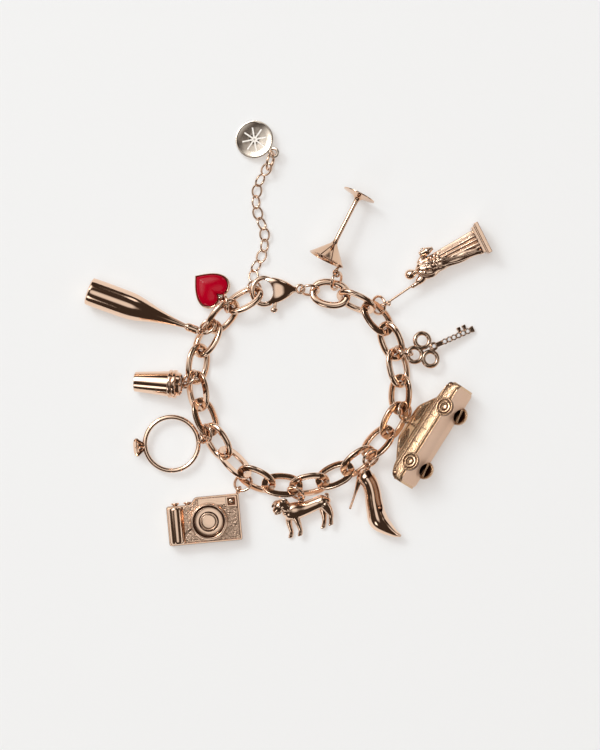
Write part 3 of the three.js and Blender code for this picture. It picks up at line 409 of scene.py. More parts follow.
def torus(diameter, wire, steps=40, sides=14):
    """A round ring about +Z."""
    c, s = circle(steps)
    middle = (diameter - wire) / 2
    return tube(np.stack([middle * c, middle * s, 0 * c], axis=1), wire / 2, sides, closed=True)


def frame_of(x_way, y_way, z_way, centre):
    """The matrix of a frame with these axes."""
    matrix = Matrix.Identity(4)
    for column, way in enumerate((x_way, y_way, z_way, centre)):
        for row in range(3):
            matrix[row][column] = way[row]
    return matrix


def turn_about(axis, degrees):
    """A turn about one of the axes."""
    return Matrix.Rotation(math.radians(degrees), 4, axis)


def shift(x, y, z):
    """A move without a turn."""
    return Matrix.Translation((x, y, z))


def in_scene(name, data):
    """A new object of the scene."""
    made = bpy.data.objects.new(name, data)
    bpy.context.scene.collection.objects.link(made)
    return made


def temporary(shell):
    """The shell as an object in millimetres, to be worked on by modifiers."""
    mesh = bpy.data.meshes.new("working")
    mesh.from_pydata(shell.points.tolist(), [], shell.faces)
    mesh.update()
    return in_scene("working", mesh)


def evaluated(obj):
    """A plain mesh of the object after its modifiers."""
    depsgraph = bpy.context.evaluated_depsgraph_get()
    return bpy.data.meshes.new_from_object(obj.evaluated_get(depsgraph))


def worked(obj):
    """The object's result after its modifiers, as a shell; the object is removed."""
    mesh = evaluated(obj)
    points = np.zeros(len(mesh.vertices) * 3)
    mesh.vertices.foreach_get("co", points)
    shell = Shell(points.reshape(-1, 3), [tuple(face.vertices) for face in mesh.polygons])
    bpy.data.objects.remove(obj)
    bpy.data.meshes.remove(mesh)
    return shell


def cut(body, *tools):
    """The body with the tools cut out of it."""
    made = temporary(body)
    helpers = []
    for tool in tools:
        helper = temporary(tool)
        helpers.append(helper)
        modifier = made.modifiers.new("cut", "BOOLEAN")
        modifier.operation = "DIFFERENCE"
        modifier.solver = "EXACT"
        modifier.object = helper
    shell = worked(made)
    for helper in helpers:
        bpy.data.objects.remove(helper)
    return shell


def cast(shells, grain, rounds):
    """Many shells melted into one soft casting."""
    made = temporary(joined(shells))
    remesh = made.modifiers.new("melt", "REMESH")
    remesh.mode = "VOXEL"
    remesh.voxel_size = grain
    soften = made.modifiers.new("soften", "SMOOTH")
    soften.factor = 0.5
    soften.iterations = rounds
    return worked(made)


# Laying a form on its solid.


def node_surface(name):
    """Corners of a node's triangles, in millimetres."""
    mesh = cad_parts[name].data
    mesh.calc_loop_triangles()
    points = np.array([vertex.co for vertex in mesh.vertices]) / MM
    index = np.array([tuple(triangle.vertices) for triangle in mesh.loop_triangles])
    return points[index]


def spread(triangles, count):
    """Points spread evenly over triangles, the same ones each time."""
    dice = np.random.default_rng(7)
    areas = np.linalg.norm(
        np.cross(triangles[:, 1] - triangles[:, 0], triangles[:, 2] - triangles[:, 0]), axis=1
    )
    chosen = triangles[dice.choice(len(triangles), count, p=areas / areas.sum())]
    u, v = dice.random((2, count, 1))
    over = (u + v) > 1
    u, v = np.where(over, 1 - u, u), np.where(over, 1 - v, v)
    return chosen[:, 0] + u * (chosen[:, 1] - chosen[:, 0]) + v * (chosen[:, 2] - chosen[:, 0])


def settle(shell, samples, start, rounds=40, keep=0.85):
    """Turns and shifts the shell, from a first guess, until it lies on the samples of its solid.

    Each round counts only the share of samples that lie nearest to the shell.
    """
    tree = BVHTree.FromPolygons([Vector(p) for p in shell.points], shell.faces)
    matrix = np.array(start)
    for _ in range(rounds):
        turn, move = matrix[:3, :3], matrix[:3, 3]
        local = (samples - move) @ turn
        found = [tree.find_nearest(Vector(p)) for p in local]
        near = np.array([tuple(hit[0]) for hit in found])
        gaps = np.array([hit[3] for hit in found])
        chosen = gaps <= np.quantile(gaps, keep)
        source, target = near[chosen], samples[chosen]
        a, b = source.mean(0), target.mean(0)
        u, _, vt = np.linalg.svd((source - a).T @ (target - b))
        flip = np.diag([1, 1, np.sign(np.linalg.det(vt.T @ u.T))])
        new_turn = vt.T @ flip @ u.T
        matrix[:3, :3], matrix[:3, 3] = new_turn, b - new_turn @ a
    return Matrix(matrix.tolist())


def ring_frame(name):
    """Frame of a ring's node: X along its longer way, Z its axis."""
    points = node_surface(name).reshape(-1, 3)
    points = np.unique(np.round(points, 4), axis=0)
    centre = points.mean(0)
    _, _, ways = np.linalg.svd(points - centre, full_matrices=False)
    x_way, z_way = ways[0], ways[2]
    return frame_of(x_way, np.cross(z_way, x_way), z_way, centre)


def piece(name, shell, finishes, body, nodes, place, sharp=38):
    """Makes the finished piece: its mesh in place, riding on its body."""
    shell = shell.moved(place)
    mesh = bpy.data.meshes.new(name)
    mesh.from_pydata((shell.points * MM).tolist(), [], shell.faces)
    for finish in finishes:
        mesh.materials.append(finish)
    mesh.polygons.foreach_set("material_index", shell.slots)
    rounded_off(mesh, sharp)
    mesh.update()
    return attached(in_scene(name, mesh), body, nodes)


def rounded_off(mesh, sharp):
    """Shades a mesh smooth but for the edges that turn by more than an angle."""
    mesh.polygons.foreach_set("use_smooth", [True] * len(mesh.polygons))
    mesh.set_sharp_from_angle(angle=math.radians(sharp))


def attached(made, body, nodes):
    """Rides the piece on its body, in place of the nodes that it stands for."""
    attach(made, body)
    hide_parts(*nodes)
    return made


# Rings and stones that repeat, made by Geometry Nodes.


def math_node(tree, operation, *values):
    """A math node with its inputs linked or set; returns its result."""
    node = tree.nodes.new("ShaderNodeMath")
    node.operation = operation
    for socket, value in zip(node.inputs, values):
        if isinstance(value, (int, float)):
            socket.default_value = value
        else:
            tree.links.new(value, socket)
    return node.outputs[0]


def node_with(tree, kind, options=None, **inputs):
    """A node with its inputs linked or set by name."""
    node = tree.nodes.new(kind)
    for key, value in (options or {}).items():
        setattr(node, key, value)
    for name, value in inputs.items():
        socket = node.inputs[name.replace("_", " ")]
        if isinstance(value, bpy.types.NodeSocket):
            tree.links.new(value, socket)
        else:
            socket.default_value = value
    return node


def vector_math(tree, operation, linked, fixed):
    """The results of a vector math node on a linked vector and a fixed one."""
    node = node_with(tree, "ShaderNodeVectorMath", {"operation": operation})
    tree.links.new(linked, node.inputs[0])
    node.inputs[1].default_value = tuple(fixed)
    return node.outputs


def new_group(name, kind, inputs, outputs):
    """A node group with its named sockets; returns it with its inputs and its result."""
    tree = bpy.data.node_groups.new(name, kind)
    for way, sockets in (("INPUT", inputs), ("OUTPUT", outputs)):
        for label, socket in sockets.items():
            tree.interface.new_socket(name=label, in_out=way, socket_type=f"NodeSocket{socket}")
    return tree, tree.nodes.new("NodeGroupInput").outputs, tree.nodes.new("NodeGroupOutput").inputs


def copied(tree, given, form, result, **scale):
    """Ends a tree: the form on every point by the point's own turn, made real, in its finish."""
    turn = node_with(tree, "GeometryNodeInputNamedAttribute", {"data_type": "QUATERNION"}, Name="turn")
    turn_out = next(out for out in turn.outputs if out.enabled and out.name == "Attribute")
    placed = node_with(
        tree, "GeometryNodeInstanceOnPoints", Points=given["Points"], Instance=form, Rotation=turn_out,
        **scale,
    )
    real = node_with(tree, "GeometryNodeRealizeInstances", Geometry=placed.outputs[0])
    finished = node_with(
        tree, "GeometryNodeSetMaterial", Geometry=real.outputs[0], Material=given["Finish"]
    )
    tree.links.new(finished.outputs[0], result[0])


def rings_tree():
    """Rings of one section on every point, each turned by the point's own turn."""
    name = "Rings on Points"
    if name in bpy.data.node_groups:
        return bpy.data.node_groups[name]
    tree, given, result = new_group(
        name, "GeometryNodeTree",
        {"Points": "Geometry", "Half Length": "Float", "Half Width": "Float", "Squareness": "Float",
         "Steps": "Int", "Cut": "Float", "Section": "Object", "Finish": "Material"},
        {"Rings": "Geometry"},
    )
    whole = node_with(tree, "GeometryNodeCurvePrimitiveCircle", Resolution=given["Steps"], Radius=1.0)
    start = math_node(tree, "MULTIPLY", given["Cut"], 0.5)
    sweep = math_node(tree, "SUBTRACT", 2 * math.pi, given["Cut"])
    open_ring = node_with(
        tree, "GeometryNodeCurveArc", Resolution=given["Steps"], Radius=1.0, Start_Angle=start,
        Sweep_Angle=sweep,
    )
    is_cut = math_node(tree, "GREATER_THAN", given["Cut"], 1e-4)
    chosen = node_with(
        tree, "GeometryNodeSwitch", {"input_type": "GEOMETRY"}, Switch=is_cut,
        **{"False": whole.outputs["Curve"], "True": open_ring.outputs["Curve"]},
    )
    place = tree.nodes.new("GeometryNodeInputPosition")
    parts = node_with(tree, "ShaderNodeSeparateXYZ", Vector=place.outputs[0])
    power = math_node(tree, "DIVIDE", 2.0, given["Squareness"])

    def oval(value, half):
        size = math_node(tree, "POWER", math_node(tree, "ABSOLUTE", value), power)
        signed = math_node(tree, "MULTIPLY", math_node(tree, "SIGN", value), size)
        return math_node(tree, "MULTIPLY", signed, half)

    target = node_with(
        tree, "ShaderNodeCombineXYZ", X=oval(parts.outputs["X"], given["Half Length"]),
        Y=oval(parts.outputs["Y"], given["Half Width"]),
    )
    shaped = node_with(
        tree, "GeometryNodeSetPosition", Geometry=chosen.outputs["Output"], Position=target.outputs[0]
    )
    section = node_with(tree, "GeometryNodeObjectInfo", Object=given["Section"])
    ring = node_with(
        tree, "GeometryNodeCurveToMesh", Curve=shaped.outputs[0],
        Profile_Curve=section.outputs["Geometry"], Fill_Caps=True,
    )
    copied(tree, given, ring.outputs[0], result)
    return tree


def stones_tree():
    """One stone on every point, each turned by the point's own turn."""
    name = "Stones on Points"
    if name in bpy.data.node_groups:
        return bpy.data.node_groups[name]
    tree, given, result = new_group(
        name, "GeometryNodeTree",
        {"Points": "Geometry", "Stone": "Object", "Size": "Float", "Finish": "Material"},
        {"Stones": "Geometry"},
    )
    stone = node_with(tree, "GeometryNodeObjectInfo", Object=given["Stone"])
    copied(tree, given, stone.outputs["Geometry"], result, Scale=given["Size"])
    return tree


def grown(name, frames, tree, values):
    """An object with a plain mesh, grown by the tree on frames that are given in millimetres."""
    points = bpy.data.meshes.new(name)
    points.from_pydata([tuple(place.translation * MM) for place in frames], [], [])
    turns = points.attributes.new("turn", "QUATERNION", "POINT")
    for item, place in zip(turns.data, frames):
        item.value = place.to_quaternion()
    made = in_scene(name, points)
    modifier = made.modifiers.new("copies", "NODES")
    modifier.node_group = tree
    for item in tree.interface.items_tree:
        if item.item_type == "SOCKET" and item.in_out == "INPUT" and item.name in values:
            modifier[item.identifier] = values[item.name]
    mesh = evaluated(made)
    made.modifiers.clear()
    made.data = mesh
    return made


def section_curve(name, outline):
    """A closed flat curve, in metres, that a ring is swept from: X along the ring's axis."""
    curve = bpy.data.curves.new(name, "CURVE")
    spline = curve.splines.new("POLY")
    spline.points.add(len(outline) - 1)
    for point, (out, along) in zip(spline.points, outline):
        point.co = (along * MM, out * MM, 0, 1)
    spline.use_cyclic_u = True
    return in_scene(name, curve)


def rings_piece(name, frames, outline, sizes, finish, nodes, sharp=40):
    """One plain mesh of all the rings whose frames are given, in millimetres."""
    section = section_curve(name + "_section", outline)
    made = grown(name, frames, rings_tree(), {**sizes, "Section": section, "Finish": finish})
    rounded_off(made.data, sharp)
    bpy.data.objects.remove(section)
    return attached(made, "bracelet", nodes)


def oval_sizes(length, width, wire, steps, squareness=2.0, cut_angle=0.0):
    """Inputs of the rings' tree from a ring's outer sizes, in millimetres."""
    return {
        "Half Length": (length - wire) / 2 * MM, "Half Width": (width - wire) / 2 * MM,
        "Squareness": squareness, "Steps": steps, "Cut": cut_angle,
    }


def wire_outline(wire, sides=14):
    """A round wire's section."""
    c, s = circle(sides)
    return np.stack([c, s], axis=1) * wire / 2


def band_outline(wall, band):
    """A main link's section: flat inside, domed outside, with soft edges."""
    corners = [
        (-0.5 * wall, -0.42 * band, 0.16), (0.05 * wall, -0.5 * band, 0.45), (0.5 * wall, -0.25 * band, 0.6),
        (0.5 * wall, 0.25 * band, 0.6), (0.05 * wall, 0.5 * band, 0.45), (-0.5 * wall, 0.42 * band, 0.16),
    ]
    return polygon(corners, steps=5)


# Finishes.


def wear_group():
    """Hairline scratches and finger marks of handled metal."""
    name = "Handling Wear"
    if name in bpy.data.node_groups:
        return bpy.data.node_groups[name]
    tree, given, result = new_group(
        name, "ShaderNodeTree",
        {"Vector": "Vector", "Polish": "Float", "Smear": "Float", "Scratch": "Float"},
        {"Roughness": "Float", "Height": "Float", "Tone": "Float"},
    )
    marks = node_with(
        tree, "ShaderNodeTexNoise", Vector=given["Vector"], Scale=420.0, Detail=3.0, Roughness=0.6
    )
    smear = math_node(tree, "MULTIPLY", math_node(tree, "SUBTRACT", marks.outputs[0], 0.45), given["Smear"])
    lines = []
    for stretch in ((9000, 500, 2600), (700, 8000, 3000)):
        stretched = vector_math(tree, "MULTIPLY", given["Vector"], stretch)
        hair = node_with(tree, "ShaderNodeTexNoise", Vector=stretched["Vector"], Scale=1.0, Detail=1.0)
        lines.append(math_node(tree, "PINGPONG", hair.outputs[0], 0.5))
    height = math_node(tree, "MULTIPLY", math_node(tree, "ADD", *lines), given["Scratch"])
    sum_up = math_node(tree, "ADD", given["Polish"], math_node(tree, "MAXIMUM", smear, 0.0))
    tree.links.new(sum_up, result["Roughness"])
    tree.links.new(height, result["Height"])
    tone = node_with(tree, "ShaderNodeTexNoise", Vector=given["Vector"], Scale=160.0, Detail=2.0)
    tree.links.new(tone.outputs[0], result["Tone"])
    return tree


def group_node(tree, group, **inputs):
    """A placed group with its inputs linked or set."""
    node = tree.nodes.new("ShaderNodeGroup")
    node.node_tree = group
    for name, value in inputs.items():
        if isinstance(value, bpy.types.NodeSocket):
            tree.links.new(value, node.inputs[name])
        else:
            node.inputs[name].default_value = value
    return node


def blended(tree, factor, first, second):
    """Two colours mixed by a mask."""
    mix = tree.nodes.new("ShaderNodeMix")
    mix.data_type = "RGBA"
    tree.links.new(factor, mix.inputs["Factor"])
    for socket, value in ((mix.inputs[6], first), (mix.inputs[7], second)):
        if isinstance(value, bpy.types.NodeSocket):
            tree.links.new(value, socket)
        else:
            socket.default_value = (*value, 1)
    return mix.outputs[2]


def spread_range(tree, value, low, high, to_low=0.0, to_high=1.0):
    """A value mapped from one range to another, held at its ends."""
    node = node_with(
        tree, "ShaderNodeMapRange", Value=value, From_Min=low, From_Max=high, To_Min=to_low, To_Max=to_high
    )
    return node.outputs[0]


def new_finish(name):
    """An empty material with its Principled shader, and the object coordinates."""
    finish = bpy.data.materials.new(name)
    finish.use_nodes = True
    tree = finish.node_tree
    shader = tree.nodes["Principled BSDF"]
    where = tree.nodes.new("ShaderNodeTexCoord").outputs["Object"]
    return finish, tree, shader, where


def bump(tree, shader, height, strength, depth):
    """Joins a height to the shader's normal. The depth is in millimetres."""
    node = node_with(tree, "ShaderNodeBump", Height=height, Strength=strength, Distance=depth * MM)
    tree.links.new(node.outputs[0], shader.inputs["Normal"])


def tinted(colour, *tint):
    """A colour times a tint of three numbers, or times one number."""
    tint = tint * 3 if len(tint) == 1 else tint
    return tuple(c * t for c, t in zip(colour, tint))


def metal(name, colour, polish=0.1, smear=0.12, scratch=0.3, patina_and_shade=0.0, grain=None, reach=0.9):
    """Cast metal. Its patina-and-shade amount darkens, as dark patina and painted shade, what lies deeper
    than its reach in mm, near the floor too; grain is its (size, depth) in mm.
    """
    if name in bpy.data.materials:
        return bpy.data.materials[name]
    finish, tree, shader, where = new_finish(name)
    wear = group_node(tree, wear_group(), Vector=where, Polish=polish, Smear=smear, Scratch=scratch)
    tone = blended(tree, wear.outputs["Tone"], tinted(colour, 1.0, 0.95, 0.9), colour)
    if patina_and_shade:
        # Painted shade and patina: the metal turns to the patina-and-shade colour where occlusion finds other
        # surfaces or the floor close by.
        shade = node_with(tree, "ShaderNodeAmbientOcclusion", {"samples": 6}, Distance=reach * MM)
        mask = spread_range(tree, shade.outputs["AO"], 0.25, 0.8, patina_and_shade, 0.0)
        tone = blended(tree, mask, tone, tuple(settings().finishes.patina_and_shade))
    tree.links.new(tone, shader.inputs["Base Color"])
    tree.links.new(wear.outputs["Roughness"], shader.inputs["Roughness"])
    shader.inputs["Metallic"].default_value = 1.0
    height, strength, depth = wear.outputs["Height"], 0.12, 0.02
    if grain:
        size, depth = grain
        pits = node_with(
            tree, "ShaderNodeTexVoronoi", {"feature": "SMOOTH_F1"}, Vector=where, Scale=1 / (size * MM),
            Smoothness=0.4,
        )
        height = math_node(tree, "ADD", pits.outputs["Distance"], height)
        strength = 0.8
    bump(tree, shader, height, strength, depth)
    return finish


def rose_gold():
    """Polished rose gold, with painted shade where the floor and other parts lie within 2 mm."""
    values = settings().finishes
    return metal("Polished Rose Gold", tuple(values.rose_gold), values.polish, patina_and_shade=0.6, reach=2.0)


def carved_gold():
    """Polished rose gold with dark patina and painted shade in its recesses, for the figures and the fine
    castings.
    """
    values = settings().finishes
    return metal("Carved Rose Gold", tuple(values.rose_gold), values.polish + 0.04, patina_and_shade=0.95)


def satin_gold():
    """Satin rose gold of the flat plates."""
    colour = tinted(settings().finishes.rose_gold, 0.98)
    return metal("Satin Rose Gold", colour, 0.5, smear=0.1, scratch=0.6, grain=(0.09, 0.012))


def cast_gold():
    """Softly textured rose gold of the car's sides, darker and yellower than the polished rose gold, with
    dark patina and painted shade in its recesses.
    """
    colour = tinted(settings().finishes.rose_gold, 0.72, 0.68, 0.58)
    return metal("Cast Rose Gold", colour, 0.16, smear=0.25, scratch=0.8, patina_and_shade=0.9, grain=(0.5, 0.05))


def window_gold():
    """Golden textured metal of the car's windows."""
    colour = tinted(settings().finishes.rose_gold, 0.8, 0.74, 0.6)
    return metal("Window Gold", colour, 0.34, smear=0.3, scratch=1.0, grain=(0.45, 0.07))


def painted_shade_gold():
    """Dark metal painted as shade in grooves, wells, hollows, seams and corners, in the colour of the patina
    and shade.
    """
    return metal("Painted Shade Metal", tuple(settings().finishes.patina_and_shade), 0.3, smear=0.2, grain=(0.12, 0.01))


def cameras_gold():
    """Polished rose gold of the camera's rims and lens, with dark patina and painted shade in its recesses.
    """
    values = settings().finishes
    return metal("Camera Rose Gold", tuple(values.rose_gold), values.polish + 0.07, patina_and_shade=0.55, reach=0.5)


def shaded_glass_gold():
    """Rose gold of the martini glass, tinted darker as painted shade against its bright reflections, with
    painted shade where the floor and other parts lie within 2 mm.
    """
    values = settings().finishes
    # A darker copy of the rose gold: painted shade that tones down the bowl's bright reflections.
    colour = tinted(values.rose_gold, 0.84, 0.8, 0.75)
    return metal("Shaded Rose Gold", colour, values.polish, patina_and_shade=0.6, reach=2.0)


def stippled_gold():
    """The camera's pebbled covering, cast in metal, with a little dark patina and painted shade in its
    hollows.
    """
    colour = tuple(settings().finishes.rose_gold)
    return metal("Stippled Rose Gold", colour, 0.22, patina_and_shade=0.3, grain=(0.58, 0.16))


def champagne():
    """Pale metal of the tag."""
    return metal("Champagne Metal", tuple(settings().finishes.champagne), 0.12, smear=0.15, scratch=0.6)


def painted_glint_cut():
    """Pale, mostly non-metal floor of the tag's engraved lines: a painted highlight for the bright
    reflections of the cuts.
    """
    finish = metal("Painted Glint Cut", (0.97, 0.95, 0.91), 0.55, smear=0.1, scratch=0.8, grain=(0.08, 0.01))
    finish.node_tree.nodes["Principled BSDF"].inputs["Metallic"].default_value = 0.15
    return finish


def aged_gold():
    """Greyer, duller metal of the key, with dark patina and painted shade in its recesses."""
    return metal("Aged Rose Gold", tuple(settings().finishes.old_gold), 0.14, smear=0.2, patina_and_shade=0.85)


def red_enamel():
    """Glossy red enamel, a little deeper in patches."""
    if "Red Enamel" in bpy.data.materials:
        return bpy.data.materials["Red Enamel"]
    finish, tree, shader, where = new_finish("Red Enamel")
    wear = group_node(tree, wear_group(), Vector=where, Polish=0.08, Smear=0.05, Scratch=0.1)
    colour = tuple(settings().finishes.enamel)
    tone = blended(tree, wear.outputs["Tone"], tinted(colour, 0.72), colour)
    tree.links.new(tone, shader.inputs["Base Color"])
    tree.links.new(wear.outputs["Roughness"], shader.inputs["Roughness"])
    shader.inputs["Specular IOR Level"].default_value = 0.12
    shader.inputs["Coat Weight"].default_value = 0.3
    shader.inputs["Coat Roughness"].default_value = 0.03
    bump(tree, shader, wear.outputs["Height"], 0.05, 0.02)
    return finish


def clear_stone():
    """Clear cut stone with a faint cloud in it."""
    if "Clear Stone" in bpy.data.materials:
        return bpy.data.materials["Clear Stone"]
    finish, tree, shader, where = new_finish("Clear Stone")
    cloud = node_with(tree, "ShaderNodeTexNoise", Vector=where, Scale=900.0, Detail=2.0)
    tint = blended(tree, cloud.outputs[0], (0.93, 0.94, 0.96), (1.0, 0.99, 0.98))
    tree.links.new(tint, shader.inputs["Base Color"])
    rough = spread_range(tree, cloud.outputs[0], 0.3, 0.7, 0.01, 0.05)
    tree.links.new(rough, shader.inputs["Roughness"])
    shader.inputs["Transmission Weight"].default_value = 0.1
    shader.inputs["IOR"].default_value = 2.2
    return finish


# The forms of the charms. Each lies in its own frame with its ear's end at +Y, in millimetres.


def glass_form():
    """A martini glass lying on its rim and foot, with an olive on a pick."""
    rim, length = 5.65, 21.9
    profile = [
        (0, 0.0), (5.0, 0, 0.12), (5.0, 0.32, 0.12), (3.4, 0.55), (1.5, 0.95, 0.5), (0.8, 1.7, 0.6),
        (0.66, 3.2, 1.0), (0.63, 9.0, 1.0), (0.68, 15.4, 0.5), (0.95, 16.6, 0.5), (rim, length, 0.1),
        (rim - 0.32, length + 0.02, 0.1), (rim - 1.0, length - 0.75, 0.1), (0, length - 0.75),
    ]
    glass = turned(profile, 72, 0.3, steps=5).moved(shift(0, 0, rim))
    olive = ball((rim * 0.35, length - 0.4, rim * 1.1), (1.05, 0.95, 0.95))
    # The olive's hole is in the painted-shade metal (slot 1): painted shade in the hole.
    hole = ball((rim * 0.35 - 0.2, length - 0.25, rim * 1.1 + 0.85), (0.32, 0.32, 0.2), 16, 8, slot=1)
    pick = tube([(-3.2, length - 0.5, 3.6), (0.6, length - 0.4, 5.6), (3.9, length - 0.3, 7.4)], 0.17, 10)
    # Two thin raised lines from the stem's top to the rim, painted dark in the painted-shade metal (slot 1).
    edges = []
    for a in np.radians([-14, 22]):
        at_rim = (rim * math.sin(a), length - 0.1, rim * (1 + math.cos(a)) - 0.05)
        edges.append(tube([(0, 16.7, rim + 0.95), at_rim], 0.15, 10, slot=1))
    return [glass, olive, hole, pick, *edges]


def fold_depth(along, angle):
    """Folds of the robe: straight pleats, and over them a cloak that slants down from one shoulder."""
    around = angle % (2 * np.pi)
    hem = max(0.0, 1 - 1.15 * along) ** 0.5
    pleats = (np.abs(np.sin(7.5 * around)) - 0.55) * 0.24 * hem
    edge = 2.45 - 1.9 * along + 0.1 * math.sin(26 * along)
    over = 1 / (1 + np.exp((edge - around) / 0.05)) / (1 + np.exp((around - 5.3) / 0.1))
    slant = (np.abs(np.sin(5.5 * around + 11 * along)) - 0.55) * 0.32 * (1 - 0.4 * along)
    return 1 + pleats * (1 - over) + over * (0.17 + 0.05 * math.sin(30 * along) + slant)


def figure_form():
    """A robed figure on a stepped plinth, with a staff in one hand and a jug in the other."""
    unit, deep = 0.264, 14.0
    robe = loft([
        (0, 8, deep, 12, 11), (0, 14, deep, 12, 11), (0, 30, deep, 10.9, 9.7), (0, 45, deep, 10.2, 9.2),
        (0, 55, deep, 9.6, 8.7), (-0.5, 62, deep, 9.6, 8.5), (-1, 70, deep, 10.4, 8.4),
        (-1, 78, deep, 10.6, 7.6), (-0.6, 83, deep, 7.4, 5.6), (0, 87, deep, 2.8, 3),
    ], 144, unit, 9, fold_depth, 0)
    belt = torus(17.9, 1.5, 48, 10).moved(
        shift(-0.5, 62, deep) @ turn_about("X", 90) @ Matrix.Diagonal((1, 0.93, 1, 1))
    )
    skull = ball((0, 92.6, deep), (4.7, 6.2, 5.0), 32, 24)
    hair = ball((0, 94.2, deep - 0.7), (5.9, 6.0, 5.4), 32, 24)
    bun = ball((0, 94.6, deep - 5.6), (2.3, 2.4, 2.2), 24, 16)
    nose = tube([(0, 94.2, deep + 4.4), (0, 92.0, deep + 5.5), (0, 91.2, deep + 4.8)], [0.5, 0.75, 0.5], 10)
    brow = tube([(-2.4, 94.5, deep + 3.7), (0, 94.9, deep + 4.6), (2.4, 94.5, deep + 3.7)], 0.55, 10)
    lips = tube([(-1.1, 89.4, deep + 4.0), (0, 89.5, deep + 4.5), (1.1, 89.4, deep + 4.0)], 0.45, 10)
    chin = ball((0, 87.6, deep + 3.1), (1.5, 1.3, 1.3), 16, 10)
    band = torus(9.6, 0.9, 40, 8).moved(shift(0, 96.2, deep - 0.6) @ turn_about("X", 78))
    staff_arm = loft([
        (-6.0, 76, deep, 4.6, 4.4), (-9.5, 83, deep, 4.9, 4.4), (-11.6, 89, deep, 4.3, 3.9),
        (-12.6, 92, deep, 2.7, 2.6), (-13.6, 96.5, deep, 2.1, 2.1),
    ], 20, unit)
    hand = ball((-13.4, 97, deep), (2.5, 2.7, 2.6))
    staff = tube([(-10.6, 84, deep), (-17.2, 132, deep)], 1.35, 14)
    tip = ball((-17.1, 131, deep), (2.0, 2.2, 2.0))
    jug_arm = loft([
        (6.5, 79, deep, 3.6, 3.6), (11, 73, deep + 1, 3.1, 3.1), (13, 68, deep + 3, 2.7, 2.7),
        (12.5, 64.5, deep + 4.5, 2.2, 2.2),
    ], 20, unit)
    jug = turned([
        (0, 58), (2.2, 58), (2.0, 59.4), (4.6, 64.5, 2), (3.0, 70.5, 1.5), (2.5, 72.5), (3.7, 75), (0, 75),
    ], 28, 0.5).moved(shift(15, 0, deep + 3))
    handle = tube(smooth([(18.0, 72.5, deep + 3), (20.2, 70, deep + 3), (18.8, 65.5, deep + 3)]), 0.7, 10)
    sash = []
    for drop in (4.6 * k for k in range(4)):
        path = [(-9.2, 80 - drop, deep + 3), (-5, 77 - drop, deep + 8.4), (2, 72 - drop, deep + 9),
                (8.6, 66 - drop, deep + 4)]
        sash.append(tube(smooth(path, 6), 0.95, 10))
    melted = [*sash, belt, skull, hair, bun, nose, brow, lips, chin, band, hand, staff, tip, jug, handle]
    scale = Matrix.Scale(unit, 4)
    body = cast([robe, staff_arm, jug_arm, *(part.moved(scale) for part in melted)], 0.11, 1)
    steps = []
    for width, depth, low, high in ((10, 7.4, 0, 1.2), (9.2, 6.7, 1.1, 1.65), (8.4, 6.2, 1.5, 2.5)):
        step = block(width, high - low, depth, rounding=0.14)
        steps.append(step.moved(shift(0, (low + high) / 2, 3.7)))
    return [body, *steps]


KEY_THICKNESS = 1.3
STONE_PLACES = [0.0, *(3.6 + 1.55 * i for i in range(6))]  # along the key's shaft
STONE_SIZE = 1.3


def key_form():
    """A flat key: three loops, a collar and a shaft with claw-set stones and two teeth."""
    thick, loop = KEY_THICKNESS, 5.7
    spread_x, middle = loop * 0.53, thick / 2
    shells = [
        torus(loop, 1.36, 56, 18).moved(shift(x, y, middle))
        for x, y in ((-spread_x, -2.4), (spread_x, -2.4), (0, -loop * 1.1))
    ]
    shells.append(block(1.5, 12.6, thick, (0, 6.9, middle), 0.22))
    shells.append(turned([(0, 0), (1.3, 0), (1.3, thick), (0, thick)], 40, 0.2).moved(turn_about("X", 90)))
    shells.append(block(1.9, 0.9, thick, (0, 13.0, middle), 0.2))
    for y in (9.2, 10.96):
        shells.append(block(2.3, 0.92, thick * 0.8, (-1.0, y, middle), 0.16))
        shells.append(block(0.8, 1.15, thick * 0.8, (-1.85, y, middle), 0.16))
    for y in STONE_PLACES:
        shells.append(torus(1.8, 0.36, 28, 10).moved(shift(0, y, thick + 0.12)))
        for k in range(4):
            angle = math.radians(45 + 90 * k)
            x, up = 0.68 * math.cos(angle), y + 0.68 * math.sin(angle)
            shells.append(ball((x, up, thick + 0.3), (0.19, 0.19, 0.3), 12, 8))
    return shells


def stone_shell(size):
    """One cut stone with a table, a crown and a pavilion."""
    half = size / 2
    rows = [(0, 0), (half * 0.35, half * 0.12), (half, half * 0.6), (half, half * 0.68),
            (half * 0.58, half * 1.02), (0, half * 1.02)]
    return turned(rows, 12, 0.0, steps=1)


def even(outline, count):
    """A closed outline with its points at equal distances."""
    outline = np.vstack([outline, outline[:1]])
    lengths = np.concatenate([[0], np.cumsum(np.linalg.norm(np.diff(outline, axis=0), axis=1))])
    at = np.arange(count) * lengths[-1] / count
    return np.stack([np.interp(at, lengths, outline[:, k]) for k in (0, 1)], axis=1)


CAR_UNIT = 0.332
CAR_ROLL = 54  # degrees past lying on its roof


def car_body():
    """The lower body, as cross sections from boot to bonnet, with its belly open to the plate."""
    rows = [  # place along the car, height of its top, half width
        (-51.0, 5.2, 4.2), (-50.4, 8.6, 4.55), (-48.5, 11.6, 4.8), (-44, 13.9, 4.95), (-38, 15.4, 5.0),
        (-30, 15.9, 5.0), (-10, 15.9, 5.0), (10, 15.8, 5.0), (26, 15.3, 5.0), (36, 14.2, 5.0),
        (43, 13.0, 4.95), (47.5, 11.4, 4.85), (49.8, 8.9, 4.6), (50.8, 6.0, 4.25),
    ]
    sections = []
    corner = rounded_rectangle(2, 2, 0.34, steps=9)
    for y, top, half in smooth(rows, 6):
        high = top * CAR_UNIT
        x = corner[:, 0] * half
        z = (corner[:, 1] + 1) / 2 * high
        crown = 0.16 * high * (1 - (x / half) ** 2) * (corner[:, 1] > 0)
        sections.append(np.column_stack([x, np.full(len(x), y * CAR_UNIT), z + crown - 0.1]))
    return skin(sections)


def painted(shell, test, slot):
    """Gives a slot to the faces whose middle passes a test."""
    for i, face in enumerate(shell.faces):
        if test(shell.points[list(face)].mean(0)):
            shell.slots[i] = slot
    return shell


